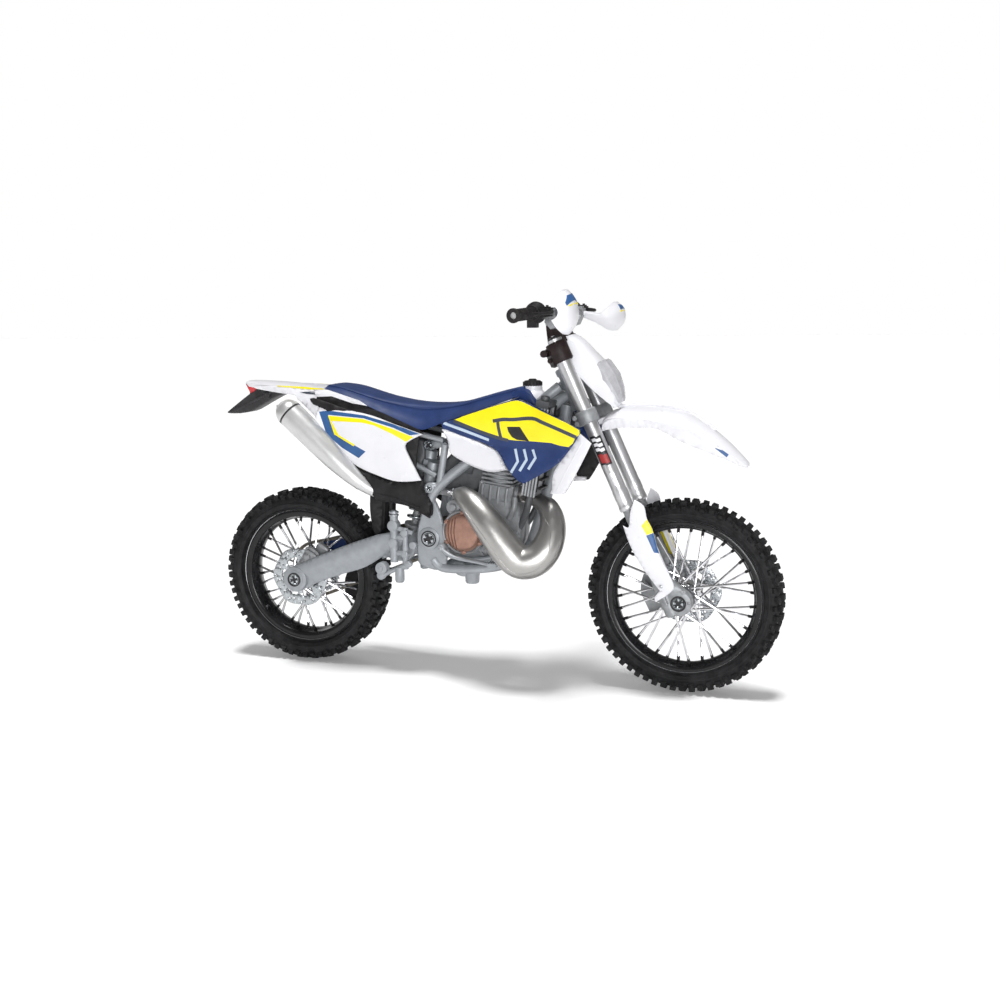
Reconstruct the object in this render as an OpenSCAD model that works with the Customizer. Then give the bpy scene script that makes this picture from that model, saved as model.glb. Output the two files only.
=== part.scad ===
// Scale model of an enduro motorcycle, one twelfth of full size.
// X is forward, Y is to the rider's left, Z is up, and the tyres stand on Z = 0.

/* [Wheels] */
// Distance between the axles
wheelbase = 123.5; // [122.5:0.5:124.5]
// Radius over the knobs of the front tyre
front_tyre_r = 29; // [28.8:0.1:29.2]
// Radius over the knobs of the rear tyre
rear_tyre_r = 28.3; // [28.2:0.1:28.5]
// Width of the front tyre
front_tyre_w = 8.4; // [8:0.1:8.8]
// Width of the rear tyre
rear_tyre_w = 11.4; // [11:0.1:11.6]
// Spokes in each wheel
spoke_count = 36; // [28:4:36]
// Knobs around each row of a tyre
knob_count = 44; // [36:4:52]

/* [Steering] */
// Lean of the fork back from upright, in degrees
rake = 24; // [23.5:0.5:24.5]
// Half the width over the grips
bar_half = 33; // [32:0.5:34]

/* [Rear suspension] */
// Distance of the swingarm pivot ahead of the rear axle
pivot_x = 46.4; // [46.3:0.1:46.5]
// Height of the swingarm pivot
pivot_z = 43.8; // [43.7:0.1:43.9]

/* [Display stand socket] */
// Radius of the blind hole for the display stand's peg
socket_r = 1.25; // [1:0.05:1.4]
// Depth of that hole
socket_depth = 4.5; // [4:0.5:5]

/* [Hidden] */
$fn = 48;

run = 0.05;                    // radial clearance of a running fit
// The rear axle stands so that X = 0 is the middle of the length.
rear_x = -(wheelbase + front_tyre_r - rear_tyre_r) / 2;
axle_r = 1;                    // both axles
pivot_bolt_r = 1;

tube_u = -3.1;                 // fork tubes, behind the front axle across the fork
steer_u = -6.1;                // steering axis, the same way
fork_y = 8.5;                  // fork tubes, each side of the middle
tube_r = 2.15;
tube_bore_r = 1.65;
leg_r = tube_bore_r - run;
tube_low = 30.2;               // lower end of the fork tubes, up the fork from the axle
tube_high = 83.6;
bore_top = 74;
leg_top = 62;
head_low = 62.5;               // head tube, up the fork from the axle
head_high = 75.6;
stem_r = 1.45;
head_bore_r = stem_r + run;

arm_in = 7.4;                  // swingarm arms, each side of the middle
arm_out = 9.9;
plate_in = 7.2;                // pivot plates, each side of the middle
plate_out = 8.8;
chain_y = 6.45;                // chain line
chain_half = 0.4;
sprocket_x = 53.2;             // output shaft, ahead of the rear axle
sprocket_z = 45;
clutch_x = 58.2;
clutch_z = 46.6;
ignition_x = 65;
ignition_z = 46.2;
socket_x = 57;                 // display stand boss
socket_z = 28.6;
stand_x = 51.6;                // side stand pivot
stand_z = 36;
shock_top = [45, 0, 72];
shock_foot = [35.5, 0, 37];
shock_lean = atan2(shock_top.x - shock_foot.x, shock_top.z - shock_foot.z);
shock_len = norm(shock_top - shock_foot);
cylinder_foot = [66.4, 0, 56];
cylinder_lean = 8;

// ---------- places ----------

// Everything is drawn with the rear axle at X = 0, and moved to the part's frame here.
module place() translate([rear_x, 0, 0]) children();

// Origin at the front axle, Z up along the fork and X ahead of it.
module fork_frame() translate([wheelbase, 0, front_tyre_r]) rotate([0, -rake, 0]) children();

module rear_wheel_frame() translate([0, 0, rear_tyre_r]) children();

module front_wheel_frame() translate([wheelbase, 0, front_tyre_r]) children();

// Origin at the shock's lower eye, Z up along the shock.
module shock_frame() translate(shock_foot) rotate([0, shock_lean, 0]) children();

module cylinder_frame() translate(cylinder_foot) rotate([0, cylinder_lean, 0]) children();

module both_sides() {
  children();
  mirror([0, 1, 0]) children();
}

// ---------- shapes ----------

function unit(v) = v / norm(v);

// One point of the Catmull-Rom curve through four points.
function curve_point(a, b, c, d, t) =
  0.5 * (2 * b + (c - a) * t + (2 * a - 5 * b + 4 * c - d) * t * t + (3 * b - a - 3 * c + d) * t * t * t);

// A closed smooth outline through pts, with n points on each stretch.
function smooth_loop(pts, n = 3) = let (m = len(pts)) [for (i = [0 : m - 1]) for (k = [0 : n - 1])
  curve_point(pts[(i + m - 1) % m], pts[i], pts[(i + 1) % m], pts[(i + 2) % m], k / n)];

// An open smooth path through pts, with n points on each stretch.
function smooth_path(pts, n = 3) = let (m = len(pts)) concat([for (i = [0 : m - 2]) for (k = [0 : n - 1])
  curve_point(pts[max(i - 1, 0)], pts[i], pts[i + 1], pts[min(i + 2, m - 1)], k / n)], [pts[m - 1]]);

// A round bar from a to b.
module bar(a, b, r) {
  d = b - a;
  translate(a) rotate([0, acos(d.z / norm(d)), atan2(d.y, d.x)]) cylinder(h = norm(d), r = r);
}

// A plate with its outline in X and Z, from y0 to y1.
module side_plate(pts, y0, y1) translate([0, y1, 0]) rotate([90, 0, 0]) linear_extrude(y1 - y0) polygon(pts);

// A disc with its axis along Y.
module disc_y(x, z, r, y0, y1) translate([x, y1, z]) rotate([90, 0, 0]) cylinder(h = y1 - y0, r = r);

// A closed skin over a list of rings, each a list of the same number of points.
module skin(rings) {
  m = len(rings);
  n = len(rings[0]);
  walls = [for (i = [0 : m - 2]) for (k = [0 : n - 1]) let (j = (k + 1) % n) each [
    [i * n + k, i * n + j, (i + 1) * n + j],
    [i * n + k, (i + 1) * n + j, (i + 1) * n + k]]];
  polyhedron([for (ring = rings) each ring], concat(walls, [[for (k = [n - 1 : -1 : 0]) k]],
    [[for (k = [0 : n - 1]) (m - 1) * n + k]]), convexity = 8);
}

// A smooth round tube along path, where each point is [x, y, z, radius].
module swept_tube(path, sides = 16) {
  m = len(path);
  function spot(i) = [path[i][0], path[i][1], path[i][2]];
  skin([for (i = [0 : m - 1]) let (
      along = unit(spot(min(i + 1, m - 1)) - spot(max(i - 1, 0))),
      side = unit(cross([0.12, 0.99, 0.08], along)),
      up = cross(side, along))
    [for (k = [0 : sides - 1]) let (a = 360 * k / sides) spot(i) + path[i][3] * (side * cos(a) + up * sin(a))]]);
}

// A tube of one radius bent smoothly through a list of points.
module bent_tube(pts, r, n = 3, sides = 12)
  swept_tube(smooth_path([for (p = pts) [p.x, p.y, p.z, r]], n), sides);

// A coil spring along Z from z0 to z1.
module coil(radius, wire_r, z0, z1, turns, sides = 5, per_turn = 10) {
  steps = turns * per_turn;
  skin([for (i = [0 : steps]) let (
      a = 360 * i / per_turn,
      out = [cos(a), sin(a), 0],
      spot = radius * out + [0, 0, z0 + wire_r + (z1 - z0 - 2 * wire_r) * i / steps])
    [for (k = [0 : sides - 1]) spot + wire_r * (out * cos(360 * k / sides) + [0, 0, sin(360 * k / sides)])]]);
}

// A shell swept along X and Z: each section is [x, z, half width, crown, thickness].
module fender_shell(sections, n = 8) {
  m = len(sections);
  rows = 2 * n + 2;
  points = [for (s = sections) each concat(
    [for (k = [0 : n]) let (t = 2 * k / n - 1) [s[0], t * s[2], s[1] - s[3] * t * t]],
    [for (k = [n : -1 : 0]) let (t = 2 * k / n - 1) [s[0], t * s[2], s[1] - s[3] * t * t - s[4]]])];
  walls = [for (i = [0 : m - 2]) for (k = [0 : rows - 1]) let (a = i * rows, b = a + rows,
    j = (k + 1) % rows) each [
    [a + k, a + j, b + j],
    [a + k, b + j, b + k]]];
  ends = [for (k = [0 : n - 1]) let (low = rows - 1 - k, b = (m - 1) * rows) each [
    [k, low, low - 1],
    [k, low - 1, k + 1],
    [b + k, b + k + 1, b + low - 1],
    [b + k, b + low - 1, b + low]]];
  polyhedron(points, concat(walls, ends), convexity = 8);
}

// A brake disc with a wavy edge, slots and a carrier, its axis along Y.
module brake_disc(r, bore, y0, y1) {
  wave = [for (i = [0 : 71]) (r - 0.25 + 0.25 * cos(60 * i)) * [cos(5 * i), sin(5 * i)]];
  translate([0, y1, 0]) rotate([90, 0, 0]) linear_extrude(y1 - y0) difference() {
    polygon(wave);
    circle(r = bore);
    for (a = [0 : 60 : 300]) rotate(a) translate([r * 0.58, 0]) circle(r = r * 0.13, $fn = 24);
    for (a = [0 : 30 : 330]) rotate(a + 15) translate([r * 0.84, 0]) circle(r = r * 0.05, $fn = 16);
  }
}

// A toothed wheel, its axis along Y.
module toothed_wheel(tip_r, root_r, teeth, bore_r, y0, y1) {
  outline = [for (i = [0 : teeth - 1]) for (k = [0 : 3]) let (a = 360 * (i + [0, 0.3, 0.45, 0.85][k]) / teeth)
    (k < 2 ? root_r : tip_r) * [cos(a), sin(a)]];
  translate([0, y1, 0]) rotate([90, 0, 0]) linear_extrude(y1 - y0) difference() {
    polygon(outline);
    circle(r = bore_r);
  }
}

// A ring with knob_count square knobs, one of them straight up, its axis along Y.
module knob_ring(tip_r, root_r, bore_r, y0, y1, turn = 0) {
  pitch = 360 / knob_count;
  outline = [for (i = [0 : knob_count - 1]) for (k = [0 : 3])
    let (a = pitch * (i + [-0.28, 0.28, 0.36, 0.64][k] + turn))
    (k < 2 ? tip_r / cos(0.28 * pitch) : root_r) * [cos(a), sin(a)]];
  translate([0, y1, 0]) rotate([90, 0, 0]) linear_extrude(y1 - y0) difference() {
    polygon([for (p = outline) [min(max(p.x, -tip_r), tip_r), min(max(p.y, -tip_r), tip_r)]]);
    circle(r = bore_r);
  }
}

// A knobbly tyre with its bead at bead_r, its axis along Y.
module tyre(r, w, bead_r, rim_w) {
  half = w / 2;
  carcass = r - 1.9;
  rotate([90, 0, 0]) rotate_extrude() polygon([
    [bead_r, -rim_w / 2], [bead_r + 0.7, -rim_w / 2], [bead_r + 0.8, -rim_w / 2 - 0.6],
    [bead_r + 1.9, -half + 0.5],
    [carcass - 1.4, -half + 0.2], [carcass - 0.4, -half + 0.9], [carcass + 0.3, -half * 0.5],
    [carcass + 0.5, 0],
    [carcass + 0.3, half * 0.5], [carcass - 0.4, half - 0.9], [carcass - 1.4, half - 0.2],
    [bead_r + 1.9, half - 0.5], [bead_r + 0.8, rim_w / 2 + 0.6], [bead_r + 0.7, rim_w / 2],
    [bead_r, rim_w / 2]]);
  knob_ring(r, carcass - 0.4, carcass - 1.2, -w * 0.14, w * 0.14);
  for (s = [-1, 1]) {
    knob_ring(r - 0.35, carcass - 0.5, carcass - 1.3, s * w * 0.25 - w * 0.09, s * w * 0.25 + w * 0.09, 0.5);
    knob_ring(r - 1.4, carcass - 1.5, carcass - 2.4, s * w * 0.43 - w * 0.07, s * w * 0.43 + w * 0.07);
  }
}

// A rim with a drop centre and two flanges, its axis along Y.
module rim(inner_r, bead_r, rim_w) rotate([90, 0, 0]) rotate_extrude() polygon([
  [inner_r, -1], [inner_r, 1], [inner_r + 0.7, rim_w / 2 - 0.2], [inner_r + 1, rim_w / 2 + 0.5],
  [bead_r + 0.6, rim_w / 2 + 0.5], [bead_r + 0.6, rim_w / 2], [bead_r, rim_w / 2],
  [bead_r, -rim_w / 2], [bead_r + 0.6, -rim_w / 2], [bead_r + 0.6, -rim_w / 2 - 0.5],
  [inner_r + 1, -rim_w / 2 - 0.5], [inner_r + 0.7, -rim_w / 2 + 0.2]]);

// A hub with two flanges and a bore for the axle, its axis along Y.
module hub(flange_r, flange_y, end_y) rotate([90, 0, 0]) rotate_extrude() polygon([
  [axle_r + run, -end_y], [2, -end_y], [2, -flange_y - 0.4], [flange_r, -flange_y - 0.4],
  [flange_r, -flange_y + 0.4], [2.3, -flange_y + 1.2], [2.3, flange_y - 1.2], [flange_r, flange_y - 0.4],
  [flange_r, flange_y + 0.4], [2, flange_y + 0.4], [2, end_y], [axle_r + run, end_y]]);

// Crossed spokes from the hub flanges to the rim, each a bar of its own.
module spokes(flange_r, flange_y, inner_r) {
  per_side = spoke_count / 2;
  for (side = [-1, 1]) for (i = [0 : per_side - 1]) {
    lean = i % 2 == 0 ? 1 : -1;
    rim_turn = (i + (side + 1) / 4) * 360 / per_side;
    hub_turn = rim_turn + lean * 60;
    bar([(flange_r - 0.4) * cos(hub_turn), side * (flange_y + lean * 0.3), (flange_r - 0.4) * sin(hub_turn)],
      [(inner_r + 0.3) * cos(rim_turn), side * (0.45 + lean * 0.3), (inner_r + 0.3) * sin(rim_turn)],
      0.22, $fn = 16);
  }
}

// A cross-headed screw on the right side, its head's face at y.
module screw_head(x, z, r, y) difference() {
  disc_y(x, z, r, y, y + 0.8);
  for (a = [20, 110]) translate([x, y, z]) rotate([0, a, 0]) cube([r * 1.1, 0.7, r * 0.24], center = true);
}

// ---------- chassis ----------

module main_frame() place() color([0.66, 0.68, 0.70]) difference() {
  union() {
    fork_frame() translate([steer_u, 0, head_low]) cylinder(h = head_high - head_low, r = 2.7);
    both_sides() {
      bent_tube([[86.2, 1.9, 90], [67, 5.2, 74.2], [50, 7.9, 60.2], [46.7, 8.3, 56], [46.8, 8.4, 50.6]], 1.4);
      bar([49.7, 8, 59.9], [52.2, 8, 72.6], 1.05);
      bent_tube([[76.6, 1.2, 42.4], [72.5, 6, 37.4], [66, 7.6, 35.6], [50.4, 8.2, 34.9], [47, 8.4, 38]], 1.3);
      side_plate(smooth_loop([[43.4, 35.6], [50.4, 34.4], [52, 40], [51.2, 48], [48.8, 55], [45.2, 58.2],
        [44.2, 52], [42.6, 46], [42.4, 40]]), plate_in, plate_out);
    }
    bent_tube([[88.4, 0, 84.8], [84, 0, 66], [76.6, 0, 42]], 1.65);
    bar([50.5, -8, 34.9], [50.5, 8, 34.9], 1.15);
    bar([52, -7.8, 72.4], [52, 7.8, 72.4], 0.9);
    bar([shock_top.x, -3.2, shock_top.z], [shock_top.x, 3.2, shock_top.z], 0.95);
    for (s = [-1, 1]) side_plate([[44, 71], [52, 71.6], [52, 73.2], [44, 73]], s * 2.9 - 0.4, s * 2.9 + 0.4);
    bar([socket_x, -7.7, 35.2], [socket_x, 7.7, 35.2], 1.05);
    translate([socket_x, 0, socket_z]) cylinder(h = 7, r = 2.5);
    side_plate([[51, 35.4], [51.5, 32.6], [53, 31], [55.5, 30.6], [55.5, 35.4]], -1.6, 1.6);
    disc_y(stand_x, stand_z, 1.5, 7.4, 10);
    disc_y(stand_x, stand_z, 0.8, 9.9, 12.4);
  }
  fork_frame() translate([steer_u, 0, head_low - 1]) cylinder(h = head_high - head_low + 2, r = head_bore_r);
  disc_y(pivot_x, pivot_z, pivot_bolt_r, -12, 12);
  translate([socket_x, 0, socket_z - 1]) cylinder(h = socket_depth + 1, r = socket_r);
}

module subframe() place() color([0.64, 0.66, 0.68]) both_sides() {
  bar([51.4, 7.2, 74], [8, 7.2, 83.4], 0.8);
  bar([48.6, 7.2, 63], [12, 7.2, 81.4], 0.8);
}

module frame_bolts() place() color([0.78, 0.79, 0.80]) {
  disc_y(pivot_x, pivot_z, pivot_bolt_r, -9, 9);
  both_sides() {
    screw_head(pivot_x, pivot_z, 2.1, -9.6);
    screw_head(47.2, 59.6, 1.1, -10.3);
  }
  screw_head(shock_top.x, shock_top.z, 1.5, -4.1);
}

module engine_case() place() color([0.62, 0.64, 0.66]) difference() {
  union() {
    side_plate(smooth_loop([[51.5, 38.5], [52.5, 50], [56, 55], [63, 56.6], [72.6, 55], [74.6, 49],
      [73.4, 41.5],
      [69, 37.9], [58, 37.2]]), -5.2, 5.2);
    disc_y(clutch_x, clutch_z, 6.5, -9.7, -5);
    disc_y(67.4, 43.6, 4, -9.2, -5);
    disc_y(54.4, 53.8, 2.1, -8.6, -4.6);
    disc_y(ignition_x, ignition_z, 6.2, 5, 6.4);
  }
  disc_y(sprocket_x, sprocket_z, 1, 1.3, 6);
  cylinder_frame() cylinder_spigot();
}

module clutch_cover() place() color([0.70, 0.50, 0.43]) {
  disc_y(clutch_x, clutch_z, 5.9, -10.9, -9.7);
  disc_y(clutch_x, clutch_z, 5.3, -11.9, -10.8);
  for (a = [30 : 60 : 330]) disc_y(clutch_x + 6 * cos(a), clutch_z + 6 * sin(a), 0.7, -10.6, -9.7);
}

module ignition_cover() place() color([0.62, 0.64, 0.66]) {
  disc_y(ignition_x, ignition_z, 5.9, 6.4, 8.4);
  disc_y(ignition_x, ignition_z, 4.8, 8.3, 9.2);
}

module front_sprocket() place() color([0.5, 0.5, 0.52]) {
  translate([sprocket_x, 0, sprocket_z]) toothed_wheel(2.4, 1.9, 11, 0.95, chain_y - 0.35, chain_y + 0.35);
  disc_y(sprocket_x, sprocket_z, 1, 1.3, chain_y + 0.6);
}

module cylinder_spigot() translate([-5.4, -4.8, -2]) cube([10.8, 9.6, 6.4]);

module cylinder_block() place() color([0.60, 0.61, 0.63]) cylinder_frame() {
  cylinder_spigot();
  for (z = [4.3 : 1.3 : 8.2]) translate([-4.9, -4.4, z]) cube([9.8, 8.8, 0.7]);
  translate([0, 0, 4]) cylinder(h = 6, r = 4);
  translate([-4.4, -4.2, 9.3]) cube([8.8, 8.4, 2]);
  translate([0, 0, 11.2]) cylinder(h = 1.6, r = 0.9);
  translate([5, 0, 2.4]) rotate([0, 90, 0]) cylinder(h = 1.6, r = 2.6);
}

module carburettor() place() color([0.2, 0.2, 0.21]) {
  bar([47.4, 0, 60], [61.2, 0, 59.2], 1.9);
  translate([54.5, 0, 56.4]) cylinder(h = 7.2, r = 2.1);
  bar([46.4, 0, 60.06], [48.4, 0, 59.95], 2.5);
}

module expansion_chamber() place() color([0.72, 0.71, 0.68]) swept_tube(smooth_path([
  [73.6, 0, 57.3, 2], [76.4, -1.6, 57, 2], [80.4, -4.9, 56, 2.2], [84.3, -7.6, 54.4, 2.9],
  [86.4, -10.6, 49.8, 3.8],
  [85.4, -13.2, 44.2, 4.4], [82.2, -15, 40.6, 4.8], [77.6, -15.9, 40, 5], [73.2, -16.2, 44.2, 4.9],
  [68.4, -15.9, 50.4, 4.4], [63.8, -14.5, 55.2, 3.6], [59.4, -12.2, 58, 2.5], [56.8, -10.3, 58.4, 1.5],
  [55.4, -9.4, 58.4, 1.3]]));

module muffler() place() color([0.80, 0.80, 0.79]) swept_tube(smooth_path([
  [55.4, -9.4, 58.4, 1.1], [53, -6.6, 57.8, 1.1], [50, -5, 58, 1.1], [46, -4.8, 58, 1.1],
  [42, -5.8, 57.8, 1.1],
  [37, -7, 56.9, 1.1], [33, -8, 56.3, 1.3], [29.5, -9.2, 57.6, 1.7], [26.5, -10.4, 59.6, 2.1],
  [23.2, -11.6, 62.4, 2.6], [17.5, -11.9, 67.4, 3.4], [11.6, -11.7, 73, 3.9], [4.6, -11.6, 79.3, 4.1],
  [0.6, -11.5, 82.8, 3.9], [-1, -11.4, 84.3, 2.6]]), sides = 14);

radiator_tilt = 10;

module radiators() place() color([0.55, 0.56, 0.57]) both_sides() {
  translate([80.6, 4.2, 59]) rotate([0, radiator_tilt, 0]) {
    difference() {
      translate([-2, 0, 0]) cube([3.9, 7.9, 28]);
      for (z = [4.6 : 2.4 : 23]) translate([1.4, 0.9, z]) cube([1, 6.1, 1.2]);
    }
    translate([0, 3.9, 27.9]) cylinder(h = 1.2, r = 1.5);
  }
  translate([83.2, 4.6, 59]) rotate([0, radiator_tilt, 0]) {
    for (z = [2.4 : 2.6 : 24]) translate([0, 0, z]) rotate([0, 28, 0]) cube([1.7, 7.2, 0.5]);
    for (y = [0, 6.8]) translate([-1, y, 1]) cube([1.4, 0.5, 25.6]);
  }
}

module fuel_tank() place() color([0.93, 0.93, 0.94]) {
  side_plate([[54, 73], [62, 76.4], [70, 82], [76.4, 86], [79.2, 87], [79.2, 87.8], [75, 88], [66, 84.6],
    [57, 80.8], [53.4, 78.8]], -3.2, 3.2);
  side_plate([[56, 78.4], [62, 80], [75, 87.2], [64, 83.4]], -11.4, 11.4);
  translate([77.4, 0, 86.8]) cylinder(h = 2.8, r = 2.3);
  both_sides() side_plate(smooth_loop([[52.9, 77.2], [53.6, 73], [60.5, 67.6], [68.6, 65.6],
    [73.7, 66.6], [76.6, 74],
    [76.6, 83.5], [72, 86.2], [62, 81.4]]), 9.6, 11.6);
}

module tank_cap() place() color([0.1, 0.1, 0.11]) translate([77.4, 0, 89.6]) {
  cylinder(h = 1.3, r = 2.7);
  translate([0, 0, 1.2]) cylinder(h = 0.9, r = 1.1);
}

shroud_outline = [[52.9, 79.1], [60, 82.2], [70, 85.6], [80.2, 86.2], [90, 82.4], [98, 78.2], [95, 74.4],
  [91, 70.2], [86, 66.8], [79.3, 62.9], [76.4, 67], [73.2, 71.6], [66, 74.4], [58, 76.6]];

// The shrouds spread outward towards the fork.
module shrouds() place() color([0.16, 0.24, 0.46]) both_sides()
  translate([56, 12.4, 0]) rotate([0, 0, 5.5]) translate([-56, 0,
    0]) side_plate(smooth_loop(shroud_outline), 0, 1);

module seat() place() color([0.17, 0.25, 0.45]) {
  side_plate(smooth_loop([[10.4, 89], [14, 89.6], [30, 86.4], [49.3, 84.6], [62, 86.6], [72.6, 89.8],
    [73.8, 88.9],
    [63, 84.4], [54, 81], [43.7, 78], [36, 80], [24, 84.6]], 2), -7.9, 7.9);
}

module airbox() place() color([0.1, 0.1, 0.11]) {
  side_plate([[14, 80], [16, 67.4], [25, 61], [31, 59.6], [33.6, 63], [33.6, 77], [24, 79.6]], -5.4, 5.4);
  both_sides() {
    side_plate([[9, 84.4], [13, 82.8], [18, 76], [26, 66], [31, 60], [36, 55.4], [42, 54.4], [46.2, 50.6],
      [44.6, 58.6], [41.4, 66], [43.8, 76.6], [42.6, 77.6], [36, 78.8], [22, 82.8], [9, 86.6]], 9.2, 10.2);
    side_plate([[30, 61.6], [33.4, 60.6], [34.4, 63], [31, 64.8]], 5.3, 9.3);
    side_plate([[18, 76.6], [22, 74.8], [24, 77.4], [20, 78.8]], 5.3, 6.2);
  }
}

panel_outline = [[12.1, 82], [22, 81.4], [34, 79.6], [48.8, 76.2], [46.6, 69], [44.4, 62], [39, 61.2],
  [32.6, 63],
  [25, 67.8], [16, 77]];

module side_panels() place() color([0.94, 0.94, 0.95]) both_sides() side_plate(panel_outline, 10.2, 11.2);

module rear_fender() place() color([0.94, 0.94, 0.95]) {
  fender_shell([[-19.4, 91, 3.2, 0.3, 1], [-14, 91.2, 4.6, 0.6, 1], [-4, 90.8, 6.2, 1, 1.1],
    [8, 88.4, 7.4, 1.3, 1.1],
    [18, 84.8, 8.4, 0.4, 0.9]]);
  both_sides() side_plate([[-9, 87.6], [-2, 89.2], [6, 88], [12, 86], [36, 80.4], [30, 80], [10, 84.2],
    [-4, 85.4]], 7.95, 8.75);
}

module tail_light() place() color([0.75, 0.1, 0.12])
  side_plate([[-18, 89.7], [-13, 89.7], [-14.6, 88.4], [-16.8, 87.3]], -2.6, 2.6);

module plate_holder() place() color([0.1, 0.1, 0.11])
  side_plate([[-12.8, 89.3], [-6, 89.1], [-8, 87.4], [-15.6, 83.4], [-23.4, 80.4], [-24.2, 81.2],
    [-18.4, 85.8]], -3.4, 3.4);

module inner_mudguard() place() color([0.1, 0.1, 0.11])
  side_plate([[26.2, 42.8], [28.4, 43.4], [29.4, 52], [29.8, 59.4], [26, 60.2], [24.2, 56]], -5.2, 5.2);

module brake_pedal() place() color([0.62, 0.64, 0.66]) {
  disc_y(51.6, 41.6, 1.3, -12.6, -8.9);
  bent_tube([[51.6, -12, 41.6], [57, -12.9, 39.2], [63, -13.1, 38.6], [68.6, -13.2, 37.8]], 0.9);
  bar([68.6, -14.6, 37.8], [68.6, -11.8, 37.8], 1.1);
}

module gear_lever() place() color([0.62, 0.64, 0.66]) {
  disc_y(58.4, 40.6, 1, 5.2, 11.6);
  bent_tube([[58.4, 11, 40.6], [64, 11.6, 39.4], [69.6, 11.8, 40.4]], 0.75);
  bar([69.6, 11, 40.4], [69.6, 14.4, 40.4], 0.95);
}

module side_stand() place() color([0.12, 0.12, 0.13]) difference() {
  union() {
    disc_y(stand_x, stand_z, 1.7, 10.3, 12.1);
    bent_tube([[50.4, 11.2, 36], [34, 12.4, 36.4], [17, 14.4, 36.2]], 0.85);
    disc_y(17, 36.2, 1.8, 13.2, 15.6);
  }
  disc_y(stand_x, stand_z, 0.8 + run, 9, 14);
}

// ---------- swingarm ----------

module swingarm() place() color([0.66, 0.68, 0.70]) difference() {
  union() {
    both_sides() {
      disc_y(0, rear_tyre_r, 4.5, arm_in, arm_out);
      side_plate(smooth_loop([[0, 32.4], [8, 34], [19.4, 39.4], [28, 43], [34.6, 44.6], [37.6, 42.6],
        [36.4, 38.8],
        [30, 35.6], [19.4, 31.9], [8, 27], [1, 24.2]]), arm_in, arm_out);
      side_plate([[31, 36.6], [36.6, 38.9], [37.6, 42.4], [33, 42.6]], 4.6, 7.5);
      side_plate([[31, 36.4], [34.4, 35.4], [37.6, 35.6], [40, 38.6], [46, 40.9], [47, 46.6], [41, 44.6],
        [33, 42.2]], 4.4, 5.6);
      disc_y(pivot_x, pivot_z, 2.9, 4.4, 6.9);
    }
    side_plate([[29.8, 36.2], [31.8, 36.8], [32.2, 42.2], [30.2, 41.8]], -7.5, 7.5);
    disc_y(shock_foot.x, shock_foot.z, 0.8, -4.5, 4.5);
  }
  disc_y(pivot_x, pivot_z, pivot_bolt_r + run, -12, 12);
  disc_y(0, rear_tyre_r, axle_r, -14, 14);
}

// Upright barrels and tie rods of the rising-rate linkage, beside the shock.
module shock_linkage() place() color([0.64, 0.66, 0.68]) both_sides() {
  bar([35.2, 9.9, 36.6], [35.4, 9.9, 50.4], 1.25);
  bar([38.8, 9.6, 34.2], [38.9, 9.6, 46.8], 0.95);
  disc_y(35.3, 47.6, 1.6, 8.6, 11.3);
  disc_y(31, 34, 1.8, 8.7, 11.3);
  bar([36.8, 9.9, 30.6], [36.8, 9.9, 35.4], 1.35);
  bar([30.8, 10, 31.6], [39.6, 10, 35.6], 0.7);
  disc_y(30.8, 31.8, 1.2, 9.2, 10.8);
  bar([35.3, 9.9, 39], [38.9, 9.6, 39], 0.8);
}

module rear_axle() place() rear_wheel_frame() color([0.78, 0.79, 0.80]) {
  disc_y(0, 0, axle_r, -10.2, 10.2);
  both_sides() screw_head(0, 0, 2.1, -10.7);
}

module rear_caliper() place() rear_wheel_frame() color([0.60, 0.61, 0.63]) rotate([0, -40, 0]) {
  side_plate([[6.8, -3.6], [12.6, -3.2], [12.6, 3.2], [6.8, 3.6]], -arm_in, -6.7);
  side_plate([[6.8, -3], [12.6, -3], [12.6, 3], [6.8, 3]], -5.5, -4.9);
  side_plate([[10.4, -3], [12.6, -3], [12.6, 3], [10.4, 3]], -7, -5.2);
}

sprocket_r = 8.2;
chain_slope = atan2(sprocket_z - rear_tyre_r, sprocket_x);
chain_span = norm([sprocket_x, sprocket_z - rear_tyre_r]);

// Outline of a belt round two wheels, the first at the origin and the second at [d, 0].
function belt(r0, r1, d, n = 16) = let (a = acos((r0 - r1) / d)) concat(
  [for (i = [0 : n]) let (t = a + (360 - 2 * a) * i / n) r0 * [cos(t), sin(t)]],
  [for (i = [0 : n]) let (t = -a + 2 * a * i / n) [d, 0] + r1 * [cos(t), sin(t)]]);

module chain() place() rear_wheel_frame() color([0.45, 0.42, 0.36]) rotate([0, -chain_slope, 0])
  translate([0, chain_y + chain_half, 0]) rotate([90, 0, 0]) linear_extrude(2 * chain_half) difference() {
    polygon(belt(sprocket_r + 1.2, 4.6, chain_span));
    polygon(belt(sprocket_r + 0.2, 3.6, chain_span));
  }

module chain_guide() place() color([0.1, 0.1, 0.12]) {
  side_plate([[13, 19.4], [20, 20.6], [25.4, 26.4], [24, 34.4], [19, 32.6], [13.4, 30]], 6.95, arm_in);
  side_plate([[7, 38.4], [15, 40.4], [27, 43.4], [29.2, 43.8], [29.2, 41], [12, 35.2]], 6.95, arm_in);
}

// ---------- shock ----------

module shock_body() place() shock_frame() color([0.58, 0.59, 0.61]) difference() {
  union() {
    translate([0, 0, 22]) cylinder(h = shock_len - 22 - 1.2, r = 2.2);
    translate([0, 0, 29]) cylinder(h = 1.2, r = 3.2);
    disc_y(0, shock_len, 1.8, -2.3, 2.3);
    translate([3.2, -4.6, 25]) cylinder(h = 7.4, r = 1.5);
    translate([0, -5, 30.3]) cube([3.4, 4.6, 1.6]);
  }
  disc_y(0, shock_len, 1, -5, 5);
  translate([0, 0, 20]) cylinder(h = 12.4, r = 1.2 + run);
}

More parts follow.
